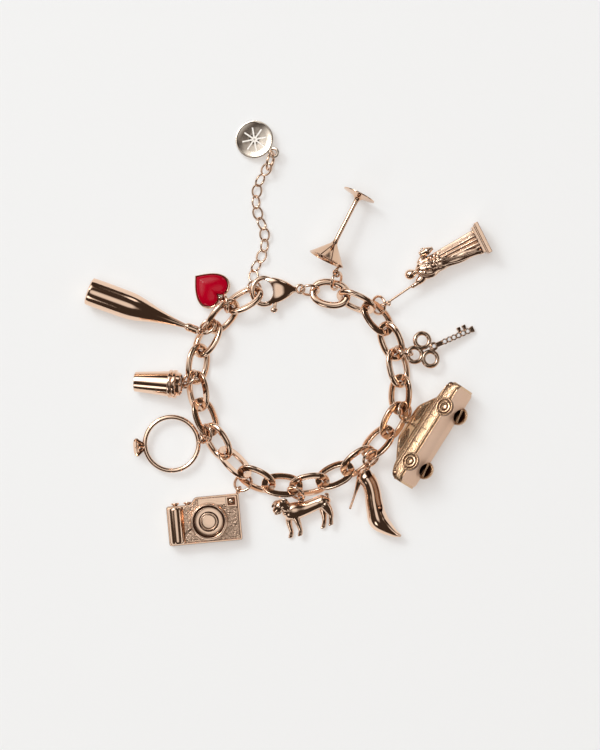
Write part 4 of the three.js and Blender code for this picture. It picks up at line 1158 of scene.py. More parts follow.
def car_cabin():
    """The cabin with its windows sunk in."""
    levels = [  # height, front, back, half width
        (4.4, 33.5, -40.5, 4.62), (5.2, 30.9, -37.3, 4.5), (6.4, 26.6, -32.2, 4.33), (7.6, 22.3, -27.0, 4.12),
        (8.6, 18.8, -22.0, 3.85), (9.2, 16.3, -18.9, 3.55), (9.52, 13.6, -15.8, 3.1), (9.6, 10.5, -12.2, 2.5),
    ]
    rows = []
    sill, top, depth = 5.55, 8.0, 0.22  # of the windows
    for z, front, back, half in smooth(levels, 7):
        length = (front - back) * CAR_UNIT
        middle = (front + back) / 2 * CAR_UNIT
        ring = even(rounded_rectangle(2 * half, length, min(1.1, half * 0.5)), 150)
        if sill < z < top:
            side = np.abs(ring[:, 0]) > half - 0.3
            panes = (np.abs(ring[:, 1] + middle + 0.3) > 0.35) & (np.abs(ring[:, 1]) < length / 2 - 1.6)
            screens = (~side) & (np.abs(ring[:, 0]) < half - 1.0)
            sunk = (side & panes) | screens
            ring = ring - sunk[:, None] * ring / np.linalg.norm(ring, axis=1)[:, None] * depth
        rows.append(np.column_stack([ring[:, 0], ring[:, 1] + middle, np.full(len(ring), z)]))
    shell = skin(rows)

    def in_window(point):
        x, y, z = point
        if not sill + 0.05 < z < top - 0.05:
            return False
        share = (z - 4.4) / 5.2
        half = 4.62 - share * 0.95
        return abs(x) < half - 0.12 if abs(y) < 6.0 else abs(x) < half - 0.9

    return painted(shell, in_window, 3)


def wheel_shell():
    """A wheel with its tyre, rim and hub as rings, about +Y."""
    profile = [
        (0, -0.5), (2.8, -0.5), (2.8, 0.4, 0.25), (2.5, 0.58), (2.26, 0.5, 0.08), (2.2, 0.0, 0.05),
        (1.9, 0.0, 0.05), (1.84, 0.46, 0.12), (1.3, 0.52, 0.12), (1.22, 0.0, 0.05), (0.98, 0.0, 0.05),
        (0.9, 0.5, 0.12), (0, 0.72),
    ]
    # The floors of the grooves between tyre, rim and hub are in the painted-shade metal (slot 2): painted
    # shade in the grooves.
    return painted(turned(profile, 56, 0.12), lambda p: -0.1 < p[1] < 0.12, 2)


def car_form():
    """A saloon rolled on its side with its belly plate turned up."""
    half, axle, radius = 5.0, 0.3, 2.05
    places = [27 * CAR_UNIT, -30.5 * CAR_UNIT]
    side_way = turn_about("Z", -90)
    lean = math.tan(math.radians(CAR_ROLL))
    c, s = circle(44)

    def across(deep):
        return deep * lean - half + 0.12

    def in_well(point):
        deep = (point[0] + half - 0.12) / lean
        return -0.05 < deep < 3.7 and any(
            math.hypot(point[1] - y, point[2] - axle + deep) < radius * 1.01 for y in places
        )

    wells = [
        skin([np.stack([across(deep) + 0 * c, y + radius * c, axle - deep + radius * s], axis=1)
              for deep in (0.0, 1.2, 2.4, 3.6)])
        for y in places
    ]
    # Faces inside the wheel wells, on the body, the far wheels and the plate, are in the painted-shade metal
    # (slot 2): painted shade in the wells.
    shells = [painted(cut(car_body(), *wells), in_well, 2), car_cabin()]
    for y, well in zip(places, wells):
        shells.append(wheel_shell().moved(shift(half, y, axle) @ side_way))
        far = wheel_shell().moved(turn_about("Z", 180)).moved(shift(-half, y, axle) @ side_way)
        shells.append(painted(cut(far, well), in_well, 2))
        x, z = across(1.0), axle - 1.0
        shells.append(tube([(x, y - radius, z - 0.3), (x, y + radius, z + 0.3)], 0.4, 16, rounded=False))
    plate = cut(slab(even(rounded_rectangle(9.5, 32.6, 1.1), 120), -0.16, 0.3, 0.12), *wells)
    painted(plate, lambda point: point[2] < -0.155, 1)
    shells.append(painted(plate, in_well, 2))
    sill = 2 * 45 * CAR_UNIT
    for side in (-1, 1):
        for height, reach in ((0.62, 47.0), (3.7, 45.0)):
            strip = [(side * (half - 0.02), y * CAR_UNIT, height) for y in np.linspace(-reach, reach, 24)]
            shells.append(tube(strip, 0.17, 10))
        # Dark strips along the sill and belt lines and down the door seams, in the painted-shade metal (slot
        # 2): painted shade of the panel seams.
        for height in (0.98, 3.35):
            shells.append(block(0.16, sill, 0.2, (side * (half - 0.04), 0, height), 0.04, slot=2))
        for y in (-4.2, 0.3, 5.0):
            shells.append(block(0.16, 0.2, 2.5, (side * (half - 0.04), y, 2.15), 0.04, slot=2))
        for y in (46.2, -45.9):
            inner = (y - math.copysign(2.6, y)) * CAR_UNIT
            # Dark swellings at the corners by the lamps, in the painted-shade metal (slot 2): painted shade
            # of the dark corners.
            shells.append(ball((side * 4.62, y * CAR_UNIT, 2.8), (0.42, 1.05, 0.95), 24, 16, slot=2))
            shells.append(ball((side * 4.85, y * CAR_UNIT, 2.9), (0.3, 0.45, 0.45), 18, 12))
            shells.append(ball((side * 4.75, inner, 2.5), (0.3, 0.24, 0.6), 18, 12))
    for y, z in ((50.2, 2.6), (-50.4, 2.7)):
        for x in (-3.1, 3.1):
            shells.append(ball((x, y * CAR_UNIT, z), (0.62, 0.3, 0.42), 18, 10))
        shells.append(block(7.6, 0.35, 0.5, (0, y * CAR_UNIT, 1.1), 0.12))
        # A dark bar between the lamps at each end, in the painted-shade metal (slot 2): painted shade.
        shells.append(block(3.2, 0.22, 0.7, (0, y * CAR_UNIT, 2.5), 0.08, slot=2))
    roll = turn_about("Y", 180 + CAR_ROLL)
    return [joined(shells).moved(roll)], roll


def shoe_form():
    """A pump with a high heel, lying on its side, with its inside open."""
    unit, half = 0.24, 3.5 / 0.24
    outer = loft([
        (8.5, 85, half, 6, 7), (9.5, 76.7, half, 10.4, 12), (14.5, 67.9, half, 10.4, 12.5),
        (17.8, 56.7, half, 10.4, 13), (19.1, 47.1, half, 10.8, 13.5), (21.6, 33.8, half, 11.5, 14.3),
        (25.3, 22, half, 12.6, 14.5), (34.5, 13.3, half, 9.5, 12), (45.3, 5.8, half, 4.8, 7),
        (52.8, 2.5, half, 1.7, 2.5),
    ], 56, unit, 7, dome=0.3)
    heel = loft([
        (5, 80, half, 4.2, 6.4), (1.5, 73, half, 4.2, 5), (-2.5, 60, half, 2.3, 2.6),
        (-6.5, 48, half, 1.6, 1.9), (-10.5, 36, half, 1.6, 1.8),
    ], 32, unit, 7, dome=0.1)
    foot = loft([
        (11.5, 84, half + 4, 2.5, 8), (14.2, 76.7, half + 4, 3.7, 11), (19.5, 67.9, half + 4, 3.8, 11.5),
        (22.8, 56.7, half + 4, 3.8, 12), (24.3, 47.1, half + 4, 3.9, 12), (27, 38, half + 4, 3.4, 11),
        (28.2, 33.5, half + 6, 1.8, 9),
    ], 48, unit, 7, dome=0.3)
    return [cut(cast([outer, heel], 0.15, 3), foot)]


def dog_form():
    """A standing short-haired dog with its head turned out."""
    unit, deep = 0.17, 2.3 / 0.17
    near, far = deep + 5, deep - 5
    rows = {
        "body": [
            (-40, 8, deep, 9, 9), (-34, 6, deep, 15, 12), (-22, 5, deep, 16, 13.2), (-4, 5, deep, 12.6, 11),
            (16, 8, deep, 11.5, 10.5), (28, 9, deep, 12, 11), (37, 8, deep, 7, 7),
        ],
        "neck and head": [
            (-34, 14, deep + 2, 9, 9), (-41, 20, deep + 3, 11.5, 10.5), (-47, 21, deep + 5, 11.5, 11),
            (-52, 18, deep + 7, 8.5, 8.5), (-56.5, 15, deep + 7.5, 6.4, 6.4),
        ],
        "tail": [
            (33, 12, deep, 4, 4), (38, 16, deep + 1, 3, 3), (39, 20, deep + 2, 2.4, 2.4),
            (35, 22, deep + 3, 1.7, 1.7),
        ],
        "far ear": [
            (-46, 27, deep + 2, 4, 3), (-52, 29, deep + 2, 3.4, 2.2), (-58, 26, deep + 2, 2.2, 1.6),
            (-61, 22, deep + 2, 1.4, 1.4),
        ],
        "near ear": [
            (-41, 27, deep + 8, 4, 3), (-38, 31, deep + 10, 3.4, 2.2), (-34, 31, deep + 10.5, 2, 1.6),
            (-32, 28, deep + 10.5, 1.3, 1.3),
        ],
        "near front leg": [
            (-26, -2, near, 7, 6), (-24, -12, near, 6, 5.6), (-23, -22, near, 4.6, 4.4),
            (-22.5, -31, near, 3.9, 3.9), (-25, -37, near, 4.2, 4.2),
        ],
        "far front leg": [
            (-36, -2, far, 6.4, 6), (-38.5, -12, far, 5.8, 5.4), (-39, -22, far, 4.6, 4.4),
            (-39, -32, far, 3.9, 3.9), (-42, -38.5, far, 4.2, 4.2),
        ],
        "near hind leg": [
            (30, 4, near, 9, 7), (34, -7, near, 7.4, 6), (36, -16, near, 5, 4.6), (34, -25, near, 3.9, 3.8),
            (32.5, -32.5, near, 4.1, 4.2),
        ],
        "far hind leg": [
            (27, 2, far, 9, 7), (25, -9, far, 7, 5.8), (24, -19, far, 5, 4.6), (21.5, -29, far, 3.9, 3.8),
            (18, -36.5, far, 4.1, 4.2),
        ],
    }
    scale = Matrix.Scale(unit, 4)
    shells = [loft(part, 28, unit, 6, dome=0.7) for part in rows.values()]
    collar = torus(25.5, 2.2, 40, 8).moved(
        scale @ shift(-33.5, 10.5, deep + 1) @ turn_about("Z", 32) @ turn_about("Y", 90)
        @ Matrix.Diagonal((0.88, 1, 1, 1))
    )
    shells.append(collar)
    face = [  # muzzle, jaw, cheek, brows and forehead
        ((-57.5, 17.2, deep + 10.6), (3.2, 2.4, 2.2)), ((-55.5, 10.8, deep + 9.6), (4.4, 2.6, 4.2)),
        ((-51.5, 12.0, deep + 11.5), (4.6, 3.6, 3.2)), ((-47.5, 21.5, deep + 14.2), (2.6, 2.0, 1.6)),
        ((-54.5, 22.2, deep + 12.2), (2.4, 1.9, 1.6)), ((-52.5, 25.4, deep + 10.2), (5.4, 1.4, 1.6)),
    ]
    for centre, radii in face:
        shells.append(ball(centre, radii, 20, 12).moved(scale))
    for x, y, z in ((-25, -37.5, near), (-42, -39, far), (32, -33, near), (17.5, -37, far)):
        for toe in (-1, 1):
            paw = ball((x - 2.4, y - 0.6, z + toe * 1.9), (2.6, 2.0, 2.0), 16, 10)
            shells.append(paw.moved(scale))
    body = cast(shells, 0.12, 2)
    # The eyes are in the painted-shade metal (slot 1): painted shade in the eyes.
    eyes = [
        ball((-48.0, 21.3, deep + 15.2), (1.3, 1.2, 1.0), 14, 8, 1),
        ball((-54.9, 22.0, deep + 13.2), (1.2, 1.2, 0.9), 14, 8, 1),
    ]
    return [body, *(eye.moved(scale) for eye in eyes)]


def camera_form():
    """A compact camera lying on its back: grip, covering, lens, knobs and finder."""
    length, height, depth = 21.9, 13.9, 4.2
    low, slope = height * 0.85, length * 0.4
    corners = [(0, 0), (length, 0), (length, height), (slope, height), (slope - 1.6, low), (0, low)]
    outline = polygon(corners, 0.7)
    shells = [slab(outline, 0, depth - 0.3, 0.3)]
    inner, deeper = offset(outline, 0.5), offset(outline, 0.62)
    rows = []
    for flat, z in ((outline, depth - 0.6), (outline, depth - 0.08), (offset(outline, 0.1), depth),
                    (offset(outline, 0.42), depth), (inner, depth - 0.08), (deeper, depth - 0.34)):
        rows.append(np.column_stack([flat, np.full(len(flat), z)]))
    shells.append(skin(rows, closed=True))
    shells.append(slab(offset(outline, 0.55), depth - 0.5, depth - 0.16, 0.06, slot=1))
    band_at = ((length + slope) / 2 + 0.1, height - 1.75, depth - 0.1)
    shells.append(block(length - slope - 1.4, 2.3, 0.3, band_at, 0.1))
    grip = turned([
        (0, 0.35), (2.1, 0.35, 0.3), (2.4, 0.9, 0.3), (2.4, low - 0.9, 0.3), (2.1, low - 0.35, 0.3),
        (0, low - 0.35),
    ], 48, 0.3)
    shells.append(grip.moved(shift(2.65, 0, depth - 0.7)))
    lens = [
        (0, 0), (5.5, 0), (5.5, 2.5, 0.25), (5.1, 2.95, 0.2), (4.78, 2.9, 0.12), (4.66, 1.5, 0.1),
        (4.4, 1.45), (4.28, 2.2, 0.05), (3.0, 2.32, 0.05), (2.9, 1.9, 0.04), (2.75, 1.9, 0.04),
        (2.7, 2.6, 0.1), (2.3, 2.66, 0.08), (2.2, 2.3, 0.06), (1.9, 2.4), (0, 2.5),
    ]
    barrel = turned(lens, 120, 0.1).moved(turn_about("X", 90))
    around = np.arctan2(barrel.points[:, 1], barrel.points[:, 0])
    out = np.hypot(barrel.points[:, 0], barrel.points[:, 1])
    knurl = ((out > 2.95) & (out < 4.35)) * 0.02 * np.sign(np.cos(60 * around))
    barrel.points[:, 2] += knurl
    lens_at = (length * 0.567, height * 0.46)
    barrel = barrel.moved(shift(*lens_at, depth - 0.15))

    def from_axis(point):
        return math.hypot(point[0] - lens_at[0], point[1] - lens_at[1])

    # Two thin rings of the lens are in the painted-shade metal (slot 2): painted shade in its grooves.
    painted(barrel, lambda p: 4.3 < from_axis(p) < 4.72 and p[2] < 6.0, 2)
    painted(barrel, lambda p: 2.72 < from_axis(p) < 2.95, 2)
    shells.append(barrel)
    finder_x, finder_y = length - 2.3, height - 2.1
    outer, hole = rounded_rectangle(3.2, 3.2, 0.3), rounded_rectangle(2.2, 2.2, 0.15)
    rows = [
        np.column_stack([flat + (finder_x, finder_y), np.full(len(flat), z)])
        for flat, z in ((outer, 4.0), (outer, 5.15), (offset(outer, 0.12), 5.3), (offset(hole, -0.1), 5.3),
                        (hole, 5.2), (hole, 4.7))
    ]
    # The finder's inner floor is in the painted-shade metal (slot 2): painted shade inside the finder.
    shells.append(skin(rows, cap_slot=2))
    shells.append(ball((finder_x, finder_y, 4.7), (0.8, 0.8, 0.25), 24, 10))
    stem = [(0, 0), (0.75, 0), (0.75, 0.35), (1.2, 0.5, 0.15), (1.2, 0.95, 0.3), (0, 1.05)]
    for x in (2.7, 6.4):
        shells.append(turned(stem, 32, 0.12).moved(shift(x, low - 0.1, depth / 2 + 0.6)))
    return shells


def finger_ring_form():
    """A solitaire ring lying flat, its brilliant held by claws."""
    outer = 8.7
    hoop = torus(17.4, 1.4, 120, 18)
    cuts = [(0, 0.5), (1.1, 0.7), (2.78, 2.1), (2.8, 2.3), (1.74, 3.2), (0, 3.2)]
    stone = turned(cuts, 16, 0.0, steps=1)
    bowl = [(0, -0.3), (1.0, -0.2), (1.35, 0.5), (2.3, 1.75, 0.1), (2.1, 1.85, 0.1), (0, 0.6)]
    seat = turned(bowl, 32, 0.15)
    claws = []
    for k in range(6):
        angle = math.radians(30 + 60 * k)
        c, s = math.cos(angle), math.sin(angle)
        path = [(r * c, y, r * s) for r, y in ((1.0, 0.0), (2.0, 1.2), (2.85, 2.1), (2.6, 2.6), (2.35, 2.78))]
        claws.append(tube(smooth(path, 4), 0.24, 10))
    head = joined([stone, seat, *claws]).moved(shift(-outer + 0.5, 0, 0) @ turn_about("Z", 90))
    return [joined([hoop, head]).moved(turn_about("Y", 6))]


def cup_form():
    """A take-away cup with its lid, lying on its side."""
    length, lid, base = 14.0, 4.25, 2.95
    low_wall = base + (lid * 0.9 - base) * 0.5 / (length * 0.75)
    profile = [
        (0, 0.12), (base - 0.35, 0.12), (base - 0.3, 0, 0.08), (base, 0.0, 0.1), (low_wall, 0.5),
        (lid * 0.9, length * 0.75 - 0.1), (lid * 0.99, length * 0.75, 0.08),
        (lid * 0.99, length * 0.795, 0.1), (lid * 0.92, length * 0.815, 0.06), (lid, length * 0.84, 0.1),
        (lid, length * 0.9, 0.12), (lid * 0.86, length * 0.915, 0.08), (lid * 0.8, length * 0.985, 0.12),
        (lid * 0.7, length, 0.1), (lid * 0.66, length * 0.975, 0.06), (0, length * 0.975),
    ]
    return [turned(profile, 72, 0.12).moved(shift(0, 0, lid))]


def bottle_form():
    """A bottle with a long neck, its collar and its cork, lying on its side."""
    radius, length, neck, cork, corked = 4.2, 31.4, 0.7, 1.25, 3.6
    rows = [(0.97, 0.015), (1.0, 0.06), (1.0, 0.25), (0.97, 0.42), (0.82, 0.53), (0.5, 0.67), (0.25, 0.8),
            (0.08, 0.91), (0, 0.975)]
    side = smooth([(neck + r * (radius - neck), y * length) for r, y in rows], 5)
    top = length + corked
    profile = [
        (0, 0.85), (radius * 0.45, 0.45, 0.6), (radius * 0.8, 0.05, 0.3),
        *[(r, y, 0.3) for r, y in side],
        (neck, length - 0.35), (neck + 0.3, length - 0.3, 0.1), (neck + 0.3, length - 0.02, 0.1),
        (cork - 0.1, length, 0.1), (cork, length + 0.5), (cork, top - 0.35, 0.25),
        (cork * 0.75, top, 0.2), (0, top),
    ]
    return [turned(profile, 72, 0.3).moved(shift(0, 0, radius))]


HEART_SIZE, HEART_DEPTH, HEART_WALL = 11.4, 1.9, 0.55
ENAMEL_GAP = 0.12


def heart_outline(size, steps=28):
    """The outline of a heart with its point at -Y."""
    half = size / 2
    spans = [
        ((0, -1), (0.3, -0.75), (1, -0.25), (1, 0.3)), ((1, 0.3), (1, 0.85), (0.25, 1.15), (0, 0.6)),
        ((0, 0.6), (-0.25, 1.15), (-1, 0.85), (-1, 0.3)), ((-1, 0.3), (-1, -0.25), (-0.3, -0.75), (0, -1)),
    ]
    points = []
    for a, b, c, d in np.array(spans, float) * half:
        for t in np.arange(steps) / steps:
            points.append((1 - t) ** 3 * a + 3 * t * (1 - t) ** 2 * b + 3 * t**2 * (1 - t) * c + t**3 * d)
    return np.array(points)


def heart_form():
    """A heart-shaped tray with a rounded rim."""
    size, depth, wall = HEART_SIZE, HEART_DEPTH, HEART_WALL
    outline = heart_outline(size)
    rows = []
    for inset, z in (
        (0.25, 0), (0.08, 0.08), (0, 0.28), (0, depth - 0.3), (0.07, depth - 0.1), (0.2, depth),
        (wall - 0.2, depth), (wall - 0.07, depth - 0.1), (wall, depth - 0.3), (wall, wall),
    ):
        flat = outline * (1 - 2 * inset / size)
        rows.append(np.column_stack([flat, np.full(len(flat), z)]))
    return [skin(rows)]


def enamel_shell():
    """The enamel: it fills the tray and stands above it in a dome."""
    outline = heart_outline(HEART_SIZE - 2 * HEART_WALL - 2 * ENAMEL_GAP)
    level = HEART_DEPTH - HEART_WALL - ENAMEL_GAP
    rows = [(1.0, 0.0), (1.0, level)]
    for share in (0.985, 0.96, 0.9, 0.8, 0.66, 0.5, 0.3, 0.12):
        rows.append((share, level + (1 - share**2.7) ** 0.7))
    return skin([np.column_stack([outline * size, np.full(len(outline), z)]) for size, z in rows])


def tag_form():
    """A round tag with a raised edge and a plain star of engraved lines."""
    radius, thick = 5.7, 0.9
    profile = [
        (0, 0), (radius, 0, 0.15), (radius, thick, 0.15), (radius - 0.45, thick, 0.08),
        (radius - 0.55, thick - 0.08, 0.05), (3.8, thick - 0.16), (2.0, thick - 0.21), (0, thick - 0.23),
    ]
    disc = turned(profile, 96, 0.1).moved(turn_about("X", 90))
    width, length = 0.5, 7.4
    # Fills in the floors of the lines are in the pale painted-glint finish (slot 1): a painted highlight.
    lines, floors = [], []
    for turn in (turn_about("Z", 45 * k) for k in range(4)):
        lines.append(block(width, length, 0.4, (0, 0, thick - 0.13), 0.02).moved(turn))
        floors.append(block(width - 0.04, length - 0.04, 0.1, (0, 0, 0.6), 0.02, slot=1).moved(turn))
    inner = torus(3.2, 0.5, 48, 8).moved(shift(0, 0, thick - 0.2))
    # The floors of the engraved lines get the pale painted-glint finish (slot 1): a painted highlight for the
    # bright reflections of the cuts.
    engraved = painted(
        cut(disc, *lines, inner),
        lambda p: 0.4 < p[2] < thick - 0.25 and math.hypot(p[0], p[1]) < 4.2, 1,
    )
    return [engraved, *floors]


# The clasp, in its own frame: origin at the hook's inner face, X towards the eyelet.

PIVOT = 6.9


def hook_point(degrees, grow=0.0):
    """A point of the hook's centre line."""
    angle = math.radians(degrees)
    return (2.95 + (3.6 + grow) * math.cos(angle), (4.0 + grow) * math.sin(angle), 0)


def clasp_form():
    """The hook, the body with its slot, and the eyelet."""
    angles = np.linspace(62, 330, 60)
    thick = 0.65 + 0.2 * np.sin(np.radians((angles - 62) / 268 * 180)) ** 2
    hook = tube([hook_point(a) for a in angles], thick, 20)
    body = loft([
        (3.1, 0, 0, 4.14, 0.7), (4.6, 0, 0, 4.12, 1.2), (6.4, 0, 0, 3.84, 1.6), (8.3, 0, 0, 3.2, 1.66),
        (10.2, 0, 0, 2.16, 1.4), (11.6, 0, 0, 1.12, 1.0), (12.4, 0, 0, 0.68, 0.82),
    ], 56, steps=7, shape=lambda along, angle: 1 + 0.14 * np.sin(2 * angle) ** 2, dome=0)
    opening = skin([
        np.stack([2.8 + 2.7 * c, 3.3 * s, np.full(len(c), z)], axis=1)
        for c, s in [circle(48)] for z in (-3.0, 3.0)
    ])
    body = cut(body, opening)
    bead = torus(1.9, 0.5, 32, 10).moved(shift(12.05, 0, 0) @ turn_about("Y", 90))
    eyelet = torus(3.2, 0.8, 44, 14).moved(shift(13.7, 0, 0))
    whole = cut(cast([hook, body, bead], 0.11, 2), *slot_shells())
    pin = turned([(0, -1.6), (0.45, -1.6, 0.1), (0.45, 1.6, 0.1), (0, 1.6)], 28, 0.1)
    return [whole, eyelet, pin.moved(shift(PIVOT + 0.2, 0, 0) @ turn_about("X", 90))]


GATE_END, TAB_END = (-1.96, 3.48), (-1.5, -6.11)
LEVER_TRAVEL = 26


def slot_shells():
    """The room that the lever needs as it turns, in three plain shells."""
    room, depth = 0.3, 0.8
    reach = 0.55 + room
    shells = []
    for x, y in (GATE_END, TAB_END):
        length, angle = math.hypot(x, y) + room, math.degrees(math.atan2(y, x))
        corners = []
        for turn, places in (
            (0, ((-0.3, -reach), (length, -reach))), (LEVER_TRAVEL / 2, ((length + 0.35, 0),)),
            (LEVER_TRAVEL, ((length, reach), (-0.3, reach))),
        ):
            swing = turn_about("Z", angle + turn)
            corners += [tuple((swing @ Vector((*place, 0)))[:2]) for place in places]
        shells.append(slab(np.array(corners), -depth, depth, 0.01, 2).moved(shift(PIVOT, 0, 0)))
    hub = turned([(0, -depth), (0.95 + room, -depth), (0.95 + room, depth), (0, depth)], 36, 0.0, steps=1)
    return [*shells, hub.moved(shift(PIVOT, 0, 0) @ turn_about("X", 90))]


def lever_shell():
    """The lever about its hub: a gate, a hub and a thumb tab with grip lines."""
    half, depth = 0.55, 1.0
    shells = []
    for x, y in (GATE_END, TAB_END):
        length, angle = math.hypot(x, y), math.degrees(math.atan2(y, x))
        bar = block(length, 2 * half, depth, (length / 2, 0, 0), 0.16)
        shells.append(bar.moved(turn_about("Z", angle)))
    hub = turned([(0, -depth / 2), (0.95, -depth / 2), (0.95, depth / 2), (0, depth / 2)], 36, 0.1)
    shells.append(hub.moved(turn_about("X", 90)))
    x, y = TAB_END
    shells.append(ball((x * 0.95, y * 0.95, 0), (1.05, 0.8, 0.6), 28, 18))
    for share in (0.72, 0.79, 0.86):
        shells.append(block(1.0, 0.16, 1.12, (x * share, y * share, 0), 0.05))
    return joined(shells)


# Putting the forms in place.


def laid(node, shell, lies, samples=2600):
    """Where a form lies: turned to its heading, then settled on its solid."""
    points = spread(node_surface(node), samples)
    own = spread_of(shell, samples)
    turn = turn_about("Z", lies)
    move = points.mean(0) - own.mean(0) @ np.array(turn)[:3, :3].T
    return settle(shell, points, shift(*move) @ turn)


def spread_of(shell, count):
    """Points spread evenly over a shell."""
    triangles = [
        (face[0], b, c) for face in shell.faces for b, c in zip(face[1:], face[2:])
    ]
    return spread(shell.points[np.array(triangles)], count)


def ear_shells(node, place, ear, inward, post, diameter=2.6, wire=0.7):
    """The ear in the charm's frame, in its jump ring, with the post into the charm."""
    ring = ring_frame(f"{node}_jump_ring")
    centre = place @ Vector(ear)
    way = (centre - ring.translation).normalized()
    axis = place.to_3x3().inverted() @ way.cross(ring.col[2].to_3d()).normalized()
    inward = Vector(inward).normalized()
    to_charm = (inward - axis * inward.dot(axis)).normalized()
    loop = torus(diameter, wire, 44, 16).moved(frame_of(to_charm, axis.cross(to_charm), axis, ear))
    foot = Vector(ear) + to_charm * (diameter - wire) / 2
    reach = foot + inward * post
    collar = Vector(ear) + to_charm * (diameter / 2 + 0.12)
    return [loop, tube([tuple(foot), tuple(reach)], 0.4, 14), ball(tuple(collar), (0.52, 0.52, 0.52), 18, 12)]


def charm_piece(
    name, node, shells, lies, finishes, ear=None, inward=(0, -1, 0), post=0.8, body_slot="rose_gold",
    sharp=38, **ear_sizes,
):
    """A charm on its solid, turned to its heading in degrees, with its ear."""
    place = laid(node, joined(shells), lies)
    if ear is not None:
        shells = [*shells, *ear_shells(node, place, ear, inward, post, **ear_sizes)]
    piece(name, joined(shells), finishes, "bracelet", [node], place, sharp)
    return place


class BraceletStep(bpy.types.Operator):
    """One piece of the bracelet."""

    bl_options = {"REGISTER"}

    def execute(self, context):
        self.make()
        return {"FINISHED"}


class BRACELET_OT_chain(BraceletStep):
    """Make the main chain's links"""

    bl_idname = "bracelet.chain"
    bl_label = "Main Chain"

    def make(self):
        sizes = settings().chain
        frames = [ring_frame(name) for name in LINKS]
        outline = band_outline(sizes.link_wall, sizes.link_band)
        values = oval_sizes(sizes.link_length, sizes.link_width, sizes.link_wall, sizes.round_steps, 2.25)
        rings_piece("main_chain", frames, outline, values, rose_gold(), LINKS)


class BRACELET_OT_jump_rings(BraceletStep):
    """Make the jump rings of the charms, the clasp and the tag"""

    bl_idname = "bracelet.jump_rings"
    bl_label = "Jump Rings"

    def make(self):
        sizes = settings().chain
        frames = [ring_frame(name) for name in JUMP_RINGS]
        values = oval_sizes(
            sizes.jump_diameter, sizes.jump_diameter, sizes.jump_wire, 56, cut_angle=sizes.jump_cut
        )
        outline = wire_outline(sizes.jump_wire)
        rings_piece("jump_rings", frames, outline, values, rose_gold(), JUMP_RINGS)


EXTENDER_ROUTE = [  # in shares of the extender's length
    (0, 0), (-0.005, 0.09), (0.06, 0.19), (0.082, 0.353), (0.014, 0.558), (0.04, 0.75), (0.145, 0.917),
    (0.17, 1.05),
]
EXTENDER_LINKS = 12
EXTENDER_LEANS = (16, -44)  # degrees, by turns
EXTENDER_BITE = 0.2  # how far two small links sink into each other


class BRACELET_OT_extender(BraceletStep):
    """Make the extender's small links along their route"""

    bl_idname = "bracelet.extender"
    bl_label = "Extender Chain"

    def make(self):
        sizes = settings().chain
        wire, count = sizes.small_wire, EXTENDER_LINKS
        pitch = sizes.small_length - 2 * wire + EXTENDER_BITE
        samples = spread(node_surface("extender_chain"), 9000)
        start = self.first_ring(samples, sizes)
        way = Vector(EXTENDER_ROUTE[1]).to_3d().normalized()
        out = sizes.first_diameter / 2 - wire + EXTENDER_BITE / 2
        begin = np.array(start.translation) + np.array(way) * out
        route = smooth([(x * count * pitch, y * count * pitch) for x, y in EXTENDER_ROUTE], 40)
        joints = [np.zeros(2)]
        for point in route:
            if np.linalg.norm(point - joints[-1]) >= pitch and len(joints) < count:
                joints.append(point)
        shell = self.small_shell(sizes)
        frames = []
        for i, (a, b) in enumerate(zip(joints, joints[1:])):
            along = Vector((*(b - a), 0)).normalized()
            middle = begin[:2] + (a + b) / 2
            level = along.cross(Vector((0, 0, 1)))
            lean = math.radians(EXTENDER_LEANS[i % 2])
            across = level * math.cos(lean) + level.cross(along) * math.sin(lean)
            near = samples[np.linalg.norm(samples[:, :2] - middle, axis=1) < 2.6]
            rough = frame_of(along, across, along.cross(across), (*middle, near[:, 2].mean()))
            near = near[np.linalg.norm(near[:, :2] - middle, axis=1) < 2.4]
            frames.append(settle(shell, near, rough, 30, keep=0.75))
        outline = wire_outline(wire, 12)
        values = oval_sizes(sizes.small_length, sizes.small_width, wire, 36)
        rings_piece("extender_links", frames, outline, values, rose_gold(), ["extender_chain"])
        first = oval_sizes(sizes.first_diameter, sizes.first_diameter, wire, 48)
        rings_piece("extender_first_ring", [start], outline, first, rose_gold(), ["extender_chain"])

    @staticmethod
    def small_shell(sizes):
        half = (sizes.small_length - sizes.small_wire) / 2, (sizes.small_width - sizes.small_wire) / 2
        c, s = circle(28)
        path = np.stack([half[0] * c, half[1] * s, 0 * c], axis=1)
        return tube(path, sizes.small_wire / 2, 10, closed=True)

    @staticmethod
    def first_ring(samples, sizes):
        """The extender's first ring, found at the end by the last link."""
        link = ring_frame("link_21").translation
        shell = torus(sizes.first_diameter, sizes.small_wire, 36, 10)
        near = samples[np.argsort(np.linalg.norm(samples - np.array(link), axis=1))[:700]]
        centre = near.mean(0)
        _, _, ways = np.linalg.svd(near - centre, full_matrices=False)
        rough = frame_of(ways[0], np.cross(ways[2], ways[0]), ways[2], centre)
        return settle(shell, near, rough, 40, keep=0.9)


def clasp_with_place():
    """The clasp's body, and its frame as settled on its solid."""
    shell = joined(clasp_form())
    eye = ring_frame("clasp_jump_ring").translation
    hooked = ring_frame("link_21").translation
    along = (eye - hooked).to_2d().to_3d().normalized()
    angle = math.degrees(math.atan2(along.y, along.x))
    return shell, laid("lobster_clasp", shell, angle)


class BRACELET_OT_clasp(BraceletStep):
    """Make the lobster clasp and its sprung lever"""

    bl_idname = "bracelet.clasp"
    bl_label = "Lobster Clasp"

    def make(self):
        shell, place = clasp_with_place()
        piece("clasp_body", shell, [rose_gold()], "bracelet", ["lobster_clasp"], place, 50)
        at = place @ shift(PIVOT, 0, 0)
        piece("lever_gate", lever_shell(), [rose_gold()], "lever", ["clasp_lever"], at)


